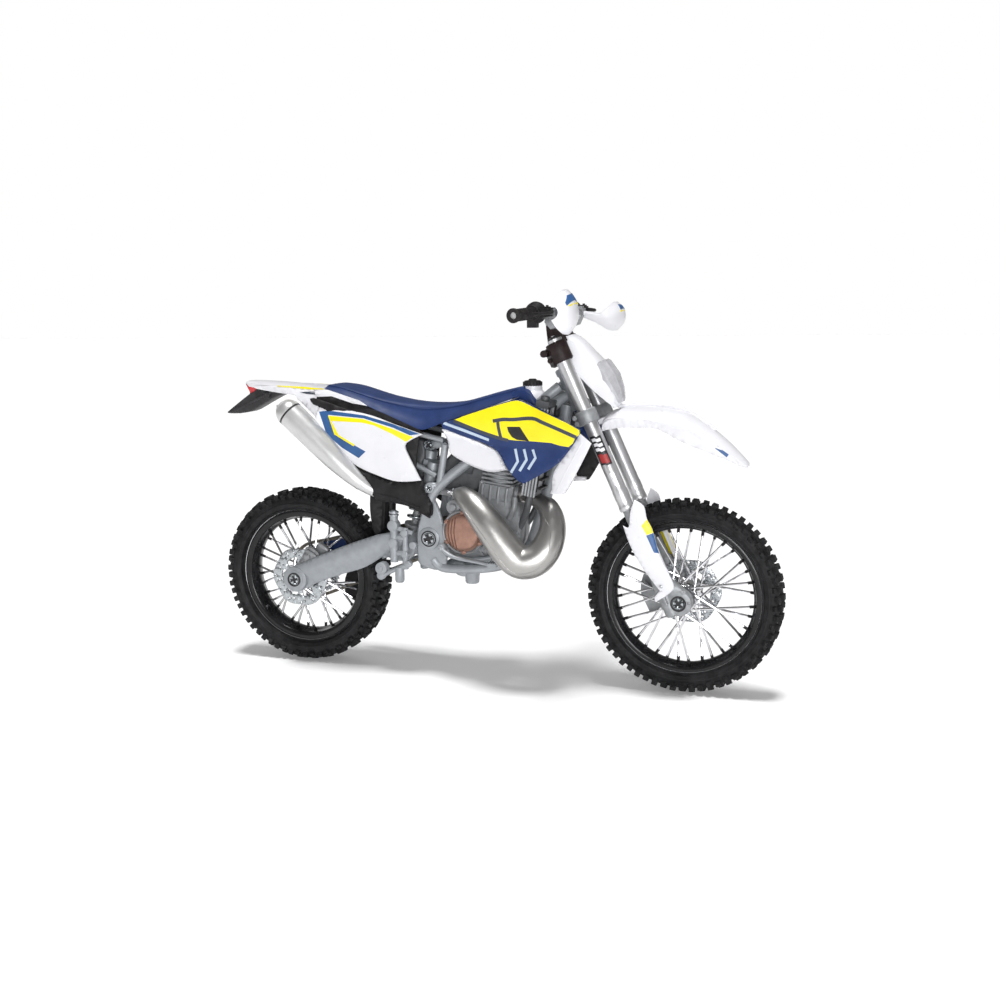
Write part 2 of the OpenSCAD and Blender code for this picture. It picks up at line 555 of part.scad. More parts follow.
module shock_spring() place() shock_frame() color([0.82, 0.82, 0.84]) coil(2.75, 0.45, 10, 29, 7);

module shock_rod() place() shock_frame() color([0.75, 0.76, 0.77]) difference() {
  union() {
    translate([0, 0, 1]) cylinder(h = 29, r = 1.2);
    translate([0, 0, 8.8]) cylinder(h = 1.2, r = 3.2);
    disc_y(0, 0, 1.9, -1.5, 1.5);
  }
  disc_y(0, 0, 1.1, -3, 3);
}

// ---------- rear wheel ----------

rear_bead_r = 21;
rear_rim_r = 18.4;
rear_rim_w = 6.4;

module rear_hub() place() rear_wheel_frame() color([0.80, 0.81, 0.82]) hub(4.2, 4.3, 7);

module rear_spokes() place() rear_wheel_frame() color([0.85, 0.85, 0.86]) spokes(4.2, 4.3, rear_rim_r);

module rear_rim() place() rear_wheel_frame() color([0.07, 0.07, 0.08]) rim(rear_rim_r, rear_bead_r,
  rear_rim_w);

module rear_tyre() place() rear_wheel_frame() color([0.06, 0.06, 0.065])
  tyre(rear_tyre_r, rear_tyre_w, rear_bead_r, rear_rim_w);

module rear_disc() place() rear_wheel_frame() color([0.82, 0.82, 0.83]) brake_disc(9.7, 2, -6.4, -5.8);

module rear_sprocket() place() rear_wheel_frame() color([0.75, 0.75, 0.77])
  toothed_wheel(sprocket_r, sprocket_r - 0.6, 40, 2, chain_y - 0.35, chain_y + 0.35);

// ---------- steering ----------

module clamp_plate(z0, z1, boss_r) difference() {
  union() {
    translate([steer_u, 0, z0]) cylinder(h = z1 - z0, r = 3);
    for (s = [-1, 1]) translate([tube_u, s * fork_y, z0]) cylinder(h = z1 - z0, r = boss_r);
    translate([steer_u - 1.6, -fork_y, z0 + 0.4]) cube([tube_u - steer_u + 2.4, 2 * fork_y, z1 - z0 - 0.8]);
  }
  for (s = [-1, 1]) translate([tube_u, s * fork_y, z0 - 1]) cylinder(h = z1 - z0 + 2, r = tube_r);
}

module lower_clamp() place() fork_frame() color([0.66, 0.67, 0.69]) {
  clamp_plate(57.5, 61.5, 2.9);
  translate([steer_u, 0, 61]) cylinder(h = 18, r = stem_r);
  translate([steer_u, 0, 61.4]) cylinder(h = 0.9, r = 2.6);
}

module upper_clamp() place() fork_frame() color([0.16, 0.12, 0.12]) difference() {
  union() {
    clamp_plate(76.6, 82.6, 3);
    for (s = [-1, 1]) translate([-4.6, s * 4.4 - 1.1, 82]) cube([3.4, 2.2, 4.4]);
  }
  translate([steer_u, 0, 70]) cylinder(h = 9, r = stem_r);
}

module fork_tubes() place() fork_frame() color([0.74, 0.75, 0.77]) for (s = [-1, 1]) translate([tube_u,
  s * fork_y, 0]) difference() {
  union() {
    translate([0, 0, tube_low]) cylinder(h = tube_high - tube_low, r = tube_r);
    translate([0, 0, tube_high - 0.1]) cylinder(h = 0.8, r = 1.5);
  }
  translate([0, 0, tube_low - 1]) cylinder(h = bore_top - tube_low + 1, r = tube_bore_r);
}

bar_mid = [85, 0, 109.3];
bar_tip = [82.5, bar_half - 0.6, 111.3];
bar_bend = [84.7, 17, 111.9];

module handlebar() place() color([0.75, 0.75, 0.76]) swept_tube(smooth_path([for (s = [-1, 1]) each
  [for (p = s < 0 ? [bar_tip, bar_bend, [85.4, 12, 111.6], bar_mid + [0, 5.6, 0]]
      : [bar_mid + [0, 5.6, 0], [85.4, 12, 111.6], bar_bend, bar_tip]) [p.x, s * p.y, p.z, 0.95]]], 3), 14);

// Sleeve round the handlebar between two distances from the middle.
module bar_sleeve(y0, y1, r) {
  along = (bar_tip - bar_bend) / (bar_tip.y - bar_bend.y);
  difference() {
    bar(bar_bend + along * (y0 - bar_bend.y), bar_bend + along * (y1 - bar_bend.y), r);
    bar(bar_bend - along * 2, bar_tip, 0.96);
  }
}

module grips() place() color([0.08, 0.08, 0.08]) both_sides() {
  bar_sleeve(21.4, bar_half, 1.75);
  bar_sleeve(bar_half - 0.7, bar_half, 2);
  bar_sleeve(20.8, 21.6, 2.3);
}

module bar_controls() place() color([0.1, 0.1, 0.1]) {
  both_sides() {
    bar_sleeve(17.8, 20.7, 2.1);
    translate([85.6, 17.6, 110.6]) cube([3.6, 3.4, 2.6]);
    bent_tube([[88.6, 19, 112], [90, 23, 111.8], [87.6, 31, 111.6]], 0.5, sides = 8);
  }
  translate([82.2, -20.4, 107.6]) cube([3, 2.6, 3]);
  translate([86.2, -2.6, 110.6]) cube([3, 5.2, 3]);
  translate([84.2, -3.3, 110.25]) cube([2.4, 6.6, 1.4]);
}

// Curved shields ahead of the grips, each section [y, x, z, half height].
guard_sections = smooth_path([[12.6, 86.4, 111.9, 0.9], [16, 91.6, 111.6, 1.3], [20, 95.2, 111.8, 3],
  [25, 96.6, 112.2, 5.6],
  [30, 96.6, 112.4, 6], [33.2, 95.2, 112.2, 3.6], [34, 94.4, 112, 1.2]], 2);

module hand_guards() place() color([0.94, 0.94, 0.95]) both_sides() skin([for (s = guard_sections)
  [for (k = [0 : 11]) [s[1] + 0.5 * cos(30 * k), s[0], s[2] + s[3] * sin(30 * k)]]]);

module headlight_mask() place() fork_frame() rotate([0, 90, 0]) color([0.93, 0.93, 0.94]) fender_shell([
  [-83.4, 1.2, 6, 1.2, 0.9], [-81, 4, 7.4, 3, 0.9], [-76, 5.2, 8.6, 4.6, 0.9], [-70, 6, 9, 5, 0.9],
  [-64, 6.2, 7.8, 4, 0.9], [-59, 5.2, 5.6, 2.4, 0.9]]);

module headlight_lens() place() fork_frame() rotate([0, 90, 0]) color([0.75, 0.76, 0.78]) fender_shell([
  [-72.6, 6.2, 2.6, 0.5, 0.6], [-70, 7, 4.2, 1, 1.3], [-66, 7.7, 4.8, 1.2, 1.8], [-62, 7, 4, 0.9, 1.2],
  [-59.8, 5.8, 2.6, 0.4, 0.6]]);

module front_fender() place() color([0.94, 0.94, 0.95]) {
  fender_shell([[99.4, 81, 4.4, 1, 1], [104, 83.2, 6.2, 2, 1], [112, 84.2, 7.2, 2.8, 1],
    [120, 83.4, 7.7, 3.2, 1],
    [126, 81.2, 7.6, 3.2, 1], [132, 76.7, 6.7, 2.7, 1], [137, 71.4, 5, 1.6, 1], [140, 68, 2.8, 0.6, 0.9]]);
  fork_frame() translate([-2.4, -3.6, 55.9]) cube([5.6, 7.2, 1.6]);
}

// ---------- fork legs ----------

module fork_legs() place() fork_frame() color([0.70, 0.71, 0.73]) difference() {
  for (s = [-1, 1]) {
    translate([tube_u, s * fork_y, -1]) cylinder(h = leg_top + 1, r = leg_r);
    translate([tube_u, s * fork_y, -3]) cylinder(h = 15, r = 2.1);
    disc_y(0, 0, 3.9, s * fork_y - 1.85, s * fork_y + 1.85);
  }
  disc_y(0, 0, axle_r, -12, 12);
  for (s = [-1, 1]) disc_y(0, 0, 2.3, s * 10.8 - 1.2, s * 10.8 + 1.2);
}

module front_caliper() place() fork_frame() color([0.58, 0.59, 0.61]) {
  side_plate([[-13.4, -2.4], [-13.6, 5.6], [-9.6, 10.4], [-5.3, 11], [-5.3, 1.8], [-8.4, -2.4]], 6.3, 7.5);
  side_plate([[-13.4, -2], [-13.6, 5.2], [-10.8, 8], [-8.4, 2], [-9.4, -2]], 4.5, 5.1);
  side_plate([[-13.4, -2], [-13.6, 5.2], [-11.2, 7.6], [-10.8, 3], [-10.8, -2]], 4.9, 6.5);
  translate([-7.6, 6.4, 3]) cube([2.5, 2.2, 5]);
}

module fork_guards() place() fork_frame() color([0.94, 0.94, 0.95]) both_sides() {
  side_plate(smooth_loop([[-5.4, 4.4], [-6, 16], [-5.4, 30], [-3.4, 35], [-0.8, 33.4], [0.6, 24],
    [2.6, 12], [2, 4.8],
    [-2, 3.6]], 2), 10.95, 11.6);
  translate([-0.4, 7.4, 5.4]) cube([0.7, 3.9, 25]);
  translate([-3.6, 10.55, 8]) cube([1, 0.6, 2]);
}

module fork_springs() place() fork_frame() color([0.7, 0.7, 0.72]) for (s = [-1, 1])
  translate([tube_u, s * fork_y, 0]) coil(1.25, 0.3, leg_top, bore_top, 6);

module front_axle() place() front_wheel_frame() color([0.78, 0.79, 0.80]) {
  disc_y(0, 0, axle_r, -9.9, 9.9);
  both_sides() screw_head(0, 0, 2.1, -10.3);
}

// ---------- front wheel ----------

front_bead_r = 22.2;
front_rim_r = 20.2;
front_rim_w = 4.4;

module front_hub() place() front_wheel_frame() color([0.80, 0.81, 0.82]) hub(4.1, 4.3, 6.5);

module front_spokes() place() front_wheel_frame() color([0.85, 0.85, 0.86]) spokes(4.1, 4.3, front_rim_r);

module front_rim() place() front_wheel_frame() color([0.07, 0.07, 0.08]) rim(front_rim_r, front_bead_r,
  front_rim_w);

module front_tyre() place() front_wheel_frame() color([0.06, 0.06, 0.065])
  tyre(front_tyre_r, front_tyre_w, front_bead_r, front_rim_w);

module front_disc() place() front_wheel_frame() color([0.82, 0.82, 0.83]) brake_disc(10, 2, 5.4, 6);

// ---------- the nodes ----------

main_frame();
subframe();
frame_bolts();
engine_case();
cylinder_block();
clutch_cover();
ignition_cover();
front_sprocket();
carburettor();
expansion_chamber();
muffler();
radiators();
fuel_tank();
tank_cap();
shrouds();
seat();
airbox();
side_panels();
rear_fender();
tail_light();
plate_holder();
inner_mudguard();
brake_pedal();
gear_lever();
side_stand();
swingarm();
shock_linkage();
rear_axle();
rear_caliper();
chain();
chain_guide();
shock_body();
shock_spring();
shock_rod();
rear_hub();
rear_spokes();
rear_rim();
rear_tyre();
rear_disc();
rear_sprocket();
lower_clamp();
upper_clamp();
fork_tubes();
handlebar();
grips();
bar_controls();
hand_guards();
headlight_mask();
headlight_lens();
front_fender();
fork_legs();
front_caliper();
fork_guards();
fork_springs();
front_axle();
front_hub();
front_spokes();
front_rim();
front_tyre();
front_disc();
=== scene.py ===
"""Looks for a twelfth-scale enduro motorcycle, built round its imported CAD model."""

import math

import bpy
import bmesh
from mathutils import Matrix, Vector
from mathutils.geometry import delaunay_2d_cdt


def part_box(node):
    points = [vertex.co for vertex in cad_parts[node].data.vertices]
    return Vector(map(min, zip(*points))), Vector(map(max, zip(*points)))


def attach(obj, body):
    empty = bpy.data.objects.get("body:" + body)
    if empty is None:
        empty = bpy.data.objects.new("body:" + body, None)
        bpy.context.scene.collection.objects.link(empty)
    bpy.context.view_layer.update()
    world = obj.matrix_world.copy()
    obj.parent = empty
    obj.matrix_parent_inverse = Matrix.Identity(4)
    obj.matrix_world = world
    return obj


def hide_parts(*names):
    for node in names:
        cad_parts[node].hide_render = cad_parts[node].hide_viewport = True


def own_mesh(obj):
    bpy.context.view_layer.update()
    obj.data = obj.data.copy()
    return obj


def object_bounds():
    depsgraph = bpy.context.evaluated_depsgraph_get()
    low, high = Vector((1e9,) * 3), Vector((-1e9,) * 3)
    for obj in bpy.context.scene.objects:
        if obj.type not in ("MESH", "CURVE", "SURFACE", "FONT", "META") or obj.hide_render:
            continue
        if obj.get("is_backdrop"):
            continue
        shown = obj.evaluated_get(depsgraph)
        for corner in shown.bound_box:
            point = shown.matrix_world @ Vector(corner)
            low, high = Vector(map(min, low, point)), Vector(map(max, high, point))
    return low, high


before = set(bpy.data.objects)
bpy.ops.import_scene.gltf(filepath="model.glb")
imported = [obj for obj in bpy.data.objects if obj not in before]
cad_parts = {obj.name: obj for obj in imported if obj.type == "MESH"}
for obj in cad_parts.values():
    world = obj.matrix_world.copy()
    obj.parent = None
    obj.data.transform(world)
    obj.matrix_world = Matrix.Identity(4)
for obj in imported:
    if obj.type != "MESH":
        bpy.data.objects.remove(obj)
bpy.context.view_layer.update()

# ---------- places ----------

MM = 0.001


def middle(node):
    low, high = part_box(node)
    return (low + high) / 2


rear_axle, front_axle = middle("rear_axle"), middle("front_axle")
WHEELBASE = (front_axle.x - rear_axle.x) / MM
FRONT_R, REAR_R = front_axle.z / MM, rear_axle.z / MM
RAKE = math.radians(24)
TUBE_U = -3.1  # fork tubes, behind the front axle across the fork
TUBE_Y = 8.5
STEER_U = -6.1  # the steering axis, behind the tubes
CYLINDER_FOOT, CYLINDER_LEAN = (66.4, 56), math.radians(8)
SPROCKET = (53.2, 45)  # the front sprocket's middle
CHAIN_Y, LINK_PITCH = 6.45, 1.32
RADIATOR_LEAN = math.radians(10)


def at(x, y, z):
    """A point in millimetres ahead of the rear axle, to the rider's left and above the floor."""
    return Vector((rear_axle.x + x * MM, y * MM, z * MM))


def fork(u, y, w):
    """A point u ahead of the front axle across the fork, and w up along it."""
    c, s = math.cos(RAKE), math.sin(RAKE)
    return at(WHEELBASE + u * c - w * s, y, FRONT_R + u * s + w * c)


SHOCK_FOOT, SHOCK_TOP = at(35.5, 0, 37), at(45, 0, 72)
TANK_CAP = at(77.4, 0, 0)  # below the middle of the filler


def shock(u, y, w):
    """A point across and up the shock from its lower eye."""
    along = (SHOCK_TOP - SHOCK_FOOT).normalized()
    across = Vector((along.z, 0, -along.x))
    return SHOCK_FOOT + (across * u + along * w) * MM + Vector((0, y * MM, 0))


def barrel(u, y, w):
    """A point in the leaned frame of the engine's cylinder."""
    c, s = math.cos(CYLINDER_LEAN), math.sin(CYLINDER_LEAN)
    x, z = CYLINDER_FOOT
    return at(x + u * c + w * s, y, z - u * s + w * c)


# ---------- shapes, each as points and faces ----------


def curve(points, steps=5, closed=False, corners=()):
    """A smooth line through points of any number of coordinates; the corners stay sharp."""
    n = len(points)
    out = []
    for i in range(n if closed else n - 1):
        j = (i + 1) % n
        a, b = points[i], points[j]
        before = points[i - 1] if closed or i else a
        after = points[(j + 1) % n] if closed or j < n - 1 else b
        if i in corners:
            before = a
        if j in corners:
            after = b
        for k in range(steps):
            t = k / steps
            h1, h2 = 2 * t**3 - 3 * t**2 + 1, t**3 - 2 * t**2 + t
            out.append(tuple(
                h1 * p + (1 - h1) * q + h2 * (q - r) / 2 + (t**3 - t**2) * (s - p) / 2
                for p, q, r, s in zip(a, b, before, after)
            ))
    if not closed:
        out.append(tuple(points[-1]))
    return out


def loft(rings, closed=False):
    n, m = len(rings[0]), len(rings)
    points = [p for ring in rings for p in ring]
    faces = []
    for i in range(m if closed else m - 1):
        a, b = i * n, (i + 1) % m * n
        faces += [(a + k, a + (k + 1) % n, b + (k + 1) % n, b + k) for k in range(n)]
    if not closed:
        faces += [tuple(range(n)), tuple(range((m - 1) * n, m * n))]
    return points, faces


def tube(points, radius=None, sides=16, steps=5, place=at, flat=1.0):
    """A round tube through points in millimetres, each with its own radius unless one is given."""
    path = curve(points, steps) if steps > 1 else points
    spots = [place(*p[:3]) for p in path]
    radii = [radius if radius is not None else p[3] for p in path]
    rings, side = [], None
    for i, spot in enumerate(spots):
        along = (spots[min(i + 1, len(spots) - 1)] - spots[max(i - 1, 0)]).normalized()
        if side is None:
            side = along.cross(Vector((0.31, 0.12, 0.94)))
        side = (side - along * side.dot(along)).normalized()
        up = along.cross(side)
        turn = [2 * math.pi * k / sides for k in range(sides)]
        rings.append([spot + (side * math.cos(t) + up * math.sin(t) * flat) * radii[i] * MM
            for t in turn])
    return loft(rings)


def turned(profile, centre, axis, sides=48):
    """A closed outline of (radius, distance along the axis) turned round the axis through centre."""
    axis = Vector(axis).normalized()
    side = axis.orthogonal().normalized()
    up = axis.cross(side)
    rings = []
    for k in range(sides):
        t = 2 * math.pi * k / sides
        out = side * math.cos(t) + up * math.sin(t)
        rings.append([centre + (out * r + axis * h) * MM for r, h in profile])
    points, faces = loft(rings, closed=True)
    if profile[0][0] == 0 and profile[-1][0] == 0:
        n = len(profile)
        faces = [f for k, f in enumerate(faces) if k % n != n - 1]
    return points, faces


def knob(r, y0, y1, soft=0.25):
    """The profile of a round boss from y0 to y1, with its outer edge rounded off."""
    d = math.copysign(soft, y1 - y0)
    return [(0, y0), (r, y0), (r, y1 - d), (r - 0.3 * soft, y1 - 0.3 * d), (r - soft, y1), (0, y1)]


def boss(x, z, r, y0, y1, soft=0.25, sides=32):
    return turned(knob(r, y0, y1, soft), at(x, 0, z), (0, 1, 0), sides)


def box(low, high, place=at):
    (a, b, c), (d, e, f) = low, high
    corners = [place(x, y, z) for x in (a, d) for y in (b, e) for z in (c, f)]
    return corners, [(0, 1, 3, 2), (4, 6, 7, 5), (0, 4, 5, 1), (2, 3, 7, 6), (0, 2, 6, 4), (1, 5, 7, 3)]


def inside(p, loop):
    hit, q = False, loop[-1]
    for r in loop:
        if (r[1] > p[1]) != (q[1] > p[1]) and p[0] < (q[0] - r[0]) * (p[1] - r[1]) / (q[1]
                - r[1]) + r[0]:
            hit = not hit
        q = r
    return hit


def gap(p, loops):
    """Distance from a point to the nearest outline."""
    best = 1e9
    for loop in loops:
        q = loop[-1]
        for r in loop:
            dx, dy = r[0] - q[0], r[1] - q[1]
            size = dx * dx + dy * dy
            t = max(0, min(1, ((p[0] - q[0]) * dx + (p[1] - q[1]) * dy) / size)) if size else 0
            best = min(best, math.hypot(p[0] - q[0] - t * dx, p[1] - q[1] - t * dy))
            q = r
    return best


def rounded(distance, edge):
    return 0 if distance >= edge or edge <= 0 else math.sqrt(edge**2 - (edge - distance) ** 2) - edge


def fill(loops, step, edge, zones=()):
    """Points and triangles that fill the first loop around the others, close enough to bend.
    The zones' edges are kept."""
    points, edges = [], []
    for loop in list(loops) + list(zones):
        start = len(points)
        points += [tuple(p[:2]) for p in loop]
        edges += [(start + k, start + (k + 1) % len(loop)) for k in range(len(loop))]
    real = lambda p: inside(p, loops[0]) and not any(inside(p, h) for h in loops[1:])
    if edge > 0:
        for loop in loops:
            for k, q in enumerate(loop):
                r = loop[(k + 1) % len(loop)]
                along = Vector((r[0] - q[0], r[1] - q[1]))
                if along.length < 1e-6:
                    continue
                away = Vector((-along.y, along.x)).normalized()
                mid = Vector((q[0] + r[0], q[1] + r[1])) / 2
                for share in (0.12, 0.45, 1.0):
                    for sign in (-1, 1):
                        p = mid + away * sign * share * edge
                        if real(p) and gap(p, loops) > share * edge * 0.97:
                            points.append(tuple(p))
    xs, ys = [p[0] for p in loops[0]], [p[1] for p in loops[0]]
    rows = int((max(ys) - min(ys)) / step / 0.87) + 1
    for j in range(rows + 1):
        for i in range(int((max(xs) - min(xs)) / step) + 2):
            p = (min(xs) + (i + 0.5 * (j % 2)) * step, min(ys) + j * step * 0.87)
            if real(p) and gap(p, loops) > max(edge * 1.2,
                    step * 0.45) and (not zones or gap(p, zones) > step * 0.25):
                points.append(p)
    found = delaunay_2d_cdt([Vector(p) for p in points], edges, [], 0, 1e-6)
    spots, triangles = [tuple(p) for p in found[0]], []
    for face in found[2]:
        centre = [sum(spots[v][k] for v in face) / 3 for k in (0, 1)]
        if real(centre):
            triangles.append(tuple(face))
    return spots, triangles


def slab(outline, place, depth, edge=0.3, back=0.0, holes=(), step=4.0, zones=()):
    """A plate filled from its outline. place(s, t, h) is the point h outside the plate's outer face.
    zones are (outline, number of the paint) printed on that face, each over the ones before."""
    loops = [list(outline)] + [list(h) for h in holes]
    spots, triangles = fill(loops, step, max(edge, back), [z for z, kind in zones])
    gaps = [gap(p, loops) for p in spots]
    n = len(spots)
    points = [place(p[0], p[1], rounded(g, edge)) for p, g in zip(spots, gaps)]
    points += [place(p[0], p[1], -depth - rounded(g, back)) for p, g in zip(spots, gaps)]
    sides = {(f[k], f[(k + 1) % 3]) for f in triangles for k in range(3)}
    walls = [(b, a, a + n, b + n) for a, b in sides if (b, a) not in sides]
    faces = triangles + [tuple(v + n for v in reversed(f)) for f in triangles] + walls
    if not zones:
        return points, faces
    kinds = [0] * len(faces)
    for k, face in enumerate(triangles):
        centre = [sum(spots[v][j] for v in face) / 3 for j in (0, 1)]
        for zone, kind in zones:
            if inside(centre, zone):
                kinds[k] = kind
    return points, faces, kinds


def side_place(y, sign, bend=None):
    """Places an outline of x and z on the side of the model, its outer face y from the middle."""
    return lambda s, t, h: at(s, sign * (y + h + (bend(s, t) if bend else 0)), t)


def plate(outline, y0, y1, edge=0.3, holes=(), step=5.0, place=at):
    """A plate across Y from y0 to y1, both of its faces' edges rounded."""
    low, high = min(y0, y1), max(y0, y1)
    return slab(outline, lambda s, t, h: place(s, high + h, t), high - low, edge, edge, holes, step)


def ring_of(r, n=32, x=0.0, z=0.0, turn=0.0):
    return [(x + r * math.cos(2 * math.pi * k / n + turn),
        z + r * math.sin(2 * math.pi * k / n + turn)) for k in range(n)]


def band(line, width):
    """The outline of a stripe of one width along a line."""
    left, right = [], []
    for i, p in enumerate(line):
        a, b = Vector(line[max(i - 1, 0)]), Vector(line[min(i + 1, len(line) - 1)])
        away = Vector((a.y - b.y, b.x - a.x)).normalized() * width / 2
        left.append((p[0] + away.x, p[1] + away.y))
        right.append((p[0] - away.x, p[1] - away.y))
    return left + right[::-1]


def flipped(shape):
    return ([Vector((p[0], -p[1], p[2])) for p in shape[0]], *shape[1:])


def both(shape):
    return [shape, flipped(shape)]


def screw(x, z, r, y, sign=-1, turn=20):
    """A cross-headed screw: its domed head, and the floor of the cross sunk into it as paint 1, painted black as the
    shade in the recess.
    """
    arm, wide = 0.62 * r, 0.15 * r
    cross = [(wide, wide), (arm, wide), (arm, -wide), (wide, -wide), (wide, -arm), (-wide, -arm),
             (-wide, -wide), (-arm, -wide), (-arm, wide), (-wide, wide), (-wide, arm), (wide, arm)]
    c, s = math.cos(math.radians(turn)), math.sin(math.radians(turn))
    cross = [(x + a * c - b * s, z + a * s + b * c) for a, b in cross]
    head = slab(ring_of(r, 28, x, z), side_place(abs(y), sign), 0.45, 0.35 * r, holes=[cross],
        step=r * 0.5)
    # The cross's floor takes paint 1, black: painted shade in the recess.
    floor = slab(ring_of(r * 0.9, 20, x, z), side_place(abs(y) - 0.35, sign), 0.3, 0, step=r)
    return [(head, 0), (floor, 1)]


# ---------- materials ----------


def mist(nodes, links, where, scale, detail=4.0, rough=0.55, stretch=(1, 1, 1)):
    """Noise in the model's own space, its features about 1 / scale metres long."""
    place = nodes.new("ShaderNodeMapping")
    place.inputs["Scale"].default_value = [scale * s for s in stretch]
    noise = nodes.new("ShaderNodeTexNoise")
    noise.inputs["Scale"].default_value = 1.0
    noise.inputs["Detail"].default_value = detail
    noise.inputs["Roughness"].default_value = rough
    links.new(where, place.inputs["Vector"])
    links.new(place.outputs["Vector"], noise.inputs["Vector"])
    return noise.outputs["Fac"]


def spread(nodes, links, value, low, high, frm=0.3, to=0.7):
    remap = nodes.new("ShaderNodeMapRange")
    remap.inputs["From Min"].default_value = frm
    remap.inputs["From Max"].default_value = to
    remap.inputs["To Min"].default_value = low
    remap.inputs["To Max"].default_value = high
    links.new(value, remap.inputs["Value"])
    return remap.outputs["Result"]


def paint(name, colour, rough=0.4, metal=0.0, tint=0.06, patch=1.5, swing=0.07, grain=0.12, fine=0.12,
          coat=0.0, stretch=(1, 1, 1), clear=0.0, shine=0.5):
    """A surface with clouded colour, uneven gloss and a fine bump. patch and fine are feature sizes in millimetres."""
    made = bpy.data.materials.new(name)
    made.use_nodes = True
    nodes, links = made.node_tree.nodes, made.node_tree.links
    shader = nodes["Principled BSDF"]
    where = nodes.new("ShaderNodeTexCoord").outputs["Object"]
    cloud = mist(nodes, links, where, 1000 / patch)
    speck = mist(nodes, links, where, 1000 / fine, 3.0, 0.6, stretch)
    blend = nodes.new("ShaderNodeMix")
    blend.data_type = "RGBA"
    dark = [c * (1 - tint) for c in colour]
    light = [min(1, c * (1 + tint) + tint * 0.02) for c in colour]
    blend.inputs["A"].default_value = (*dark, 1)
    blend.inputs["B"].default_value = (*light, 1)
    links.new(spread(nodes, links, cloud, 0, 1, 0.35, 0.65), blend.inputs["Factor"])
    links.new(blend.outputs["Result"], shader.inputs["Base Color"])
    links.new(spread(nodes, links, mist(nodes, links, where, 2200 / patch), rough - swing,
        rough + swing), shader.inputs["Roughness"])
    shader.inputs["Metallic"].default_value = metal
    shader.inputs["Specular IOR Level"].default_value = shine
    shader.inputs["Coat Weight"].default_value = coat
    shader.inputs["Coat Roughness"].default_value = 0.12
    if clear:
        shader.inputs["Transmission Weight"].default_value = clear
        shader.inputs["IOR"].default_value = 1.45
    bump = nodes.new("ShaderNodeBump")
    bump.inputs["Strength"].default_value = grain
    bump.inputs["Distance"].default_value = 0.0001
    links.new(speck, bump.inputs["Height"])
    links.new(bump.outputs["Normal"], shader.inputs["Normal"])
    return made


WHITE = paint("white_plastic", (0.78, 0.78, 0.81), 0.34, tint=0.025, patch=6, grain=0.05, coat=0.15)
NAVY = paint("navy_plastic", (0.014, 0.036, 0.135), 0.42, tint=0.12, patch=4, grain=0.1, shine=0.35)
SEAT = paint("seat_vinyl", (0.013, 0.034, 0.128), 0.52, tint=0.12, patch=5, grain=0.4, fine=0.3,
    shine=0.35)
YELLOW = paint("yellow_print", (0.93, 0.78, 0.004), 0.4, tint=0.03, patch=5, grain=0.05, coat=0.2)
SLATE = paint("slate_print", (0.045, 0.055, 0.075), 0.45, tint=0.1, patch=3)
PALE = paint("pale_blue_print", (0.50, 0.60, 0.72), 0.42, tint=0.05, patch=3)
BLUE = paint("blue_print", (0.028, 0.10, 0.27), 0.42, tint=0.08, patch=3)
RED = paint("red_print", (0.35, 0.015, 0.015), 0.45, tint=0.1, patch=2)
# Black for print, also used as painted shade on the floors of the screws' crosses.
BLACK_PRINT_AND_SHADE = paint("black_print_and_painted_shade", (0.012, 0.012, 0.014), 0.45, tint=0.2, patch=2)
FRAME = paint("grey_frame_paint", (0.33, 0.35, 0.37), 0.42, metal=0.35, tint=0.07, patch=2.5,
    grain=0.14, fine=0.09)
ENGINE = paint("grey_engine_paint", (0.27, 0.28, 0.29), 0.5, metal=0.3, tint=0.13, patch=2,
    grain=0.35, fine=0.2)
DARK_GREY = paint("dark_grey_paint", (0.10, 0.105, 0.11), 0.5, metal=0.3, tint=0.15, patch=2,
    grain=0.3, fine=0.2)
PIPE = paint("brushed_pipe", (0.47, 0.46, 0.445), 0.36, metal=0.95, tint=0.05, patch=6, swing=0.04,
    grain=0.06, fine=0.1)
SILENCER = paint("silencer_silver", (0.66, 0.66, 0.66), 0.4, metal=0.7, tint=0.04, patch=6,
    swing=0.04, grain=0.06, fine=0.12)
COPPER = paint("copper_paint", (0.36, 0.205, 0.155), 0.42, metal=0.6, tint=0.12, patch=1.6,
    grain=0.3, fine=0.18)
BLACK = paint("black_plastic", (0.013, 0.012, 0.013), 0.5, tint=0.2, patch=3, grain=0.3, fine=0.16,
    shine=0.25)
BROWN = paint("brown_black_plastic", (0.020, 0.011, 0.011), 0.46, tint=0.2, patch=2, grain=0.25,
    fine=0.16, shine=0.25)
RUBBER = paint("tyre_rubber", (0.0095, 0.0095, 0.0105), 0.58, tint=0.3, patch=2.2, grain=0.5,
    fine=0.3, shine=0.22)
GRIP = paint("grip_rubber", (0.016, 0.014, 0.014), 0.6, tint=0.25, patch=1, grain=0.5, fine=0.18,
    shine=0.25)
RIM = paint("rim_gloss_black", (0.008, 0.008, 0.009), 0.2, tint=0.2, patch=5, swing=0.05,
    grain=0.04, coat=0.1, shine=0.3)
CHROME = paint("chrome", (0.74, 0.74, 0.76), 0.12, metal=1.0, tint=0.05, patch=1.2, swing=0.05,
    grain=0.05, fine=0.1)
STEEL = paint("screw_steel", (0.50, 0.53, 0.55), 0.26, metal=0.95, tint=0.1, patch=0.8, grain=0.15)
FORK = paint("fork_silver", (0.60, 0.60, 0.61), 0.36, metal=0.8, tint=0.04, patch=5, swing=0.04,
    grain=0.05, stretch=(0.3, 0.3, 0.06))
CAST = paint("cast_grey", (0.30, 0.31, 0.32), 0.45, metal=0.4, tint=0.12, patch=1.5, grain=0.4,
    fine=0.15)
CHAIN = paint("chain_steel", (0.16, 0.145, 0.12), 0.42, metal=0.8, tint=0.25, patch=0.8, grain=0.3)
CORE = paint("radiator_core", (0.13, 0.135, 0.14), 0.5, metal=0.35, tint=0.2, patch=1.5, grain=0.4,
    fine=0.15)
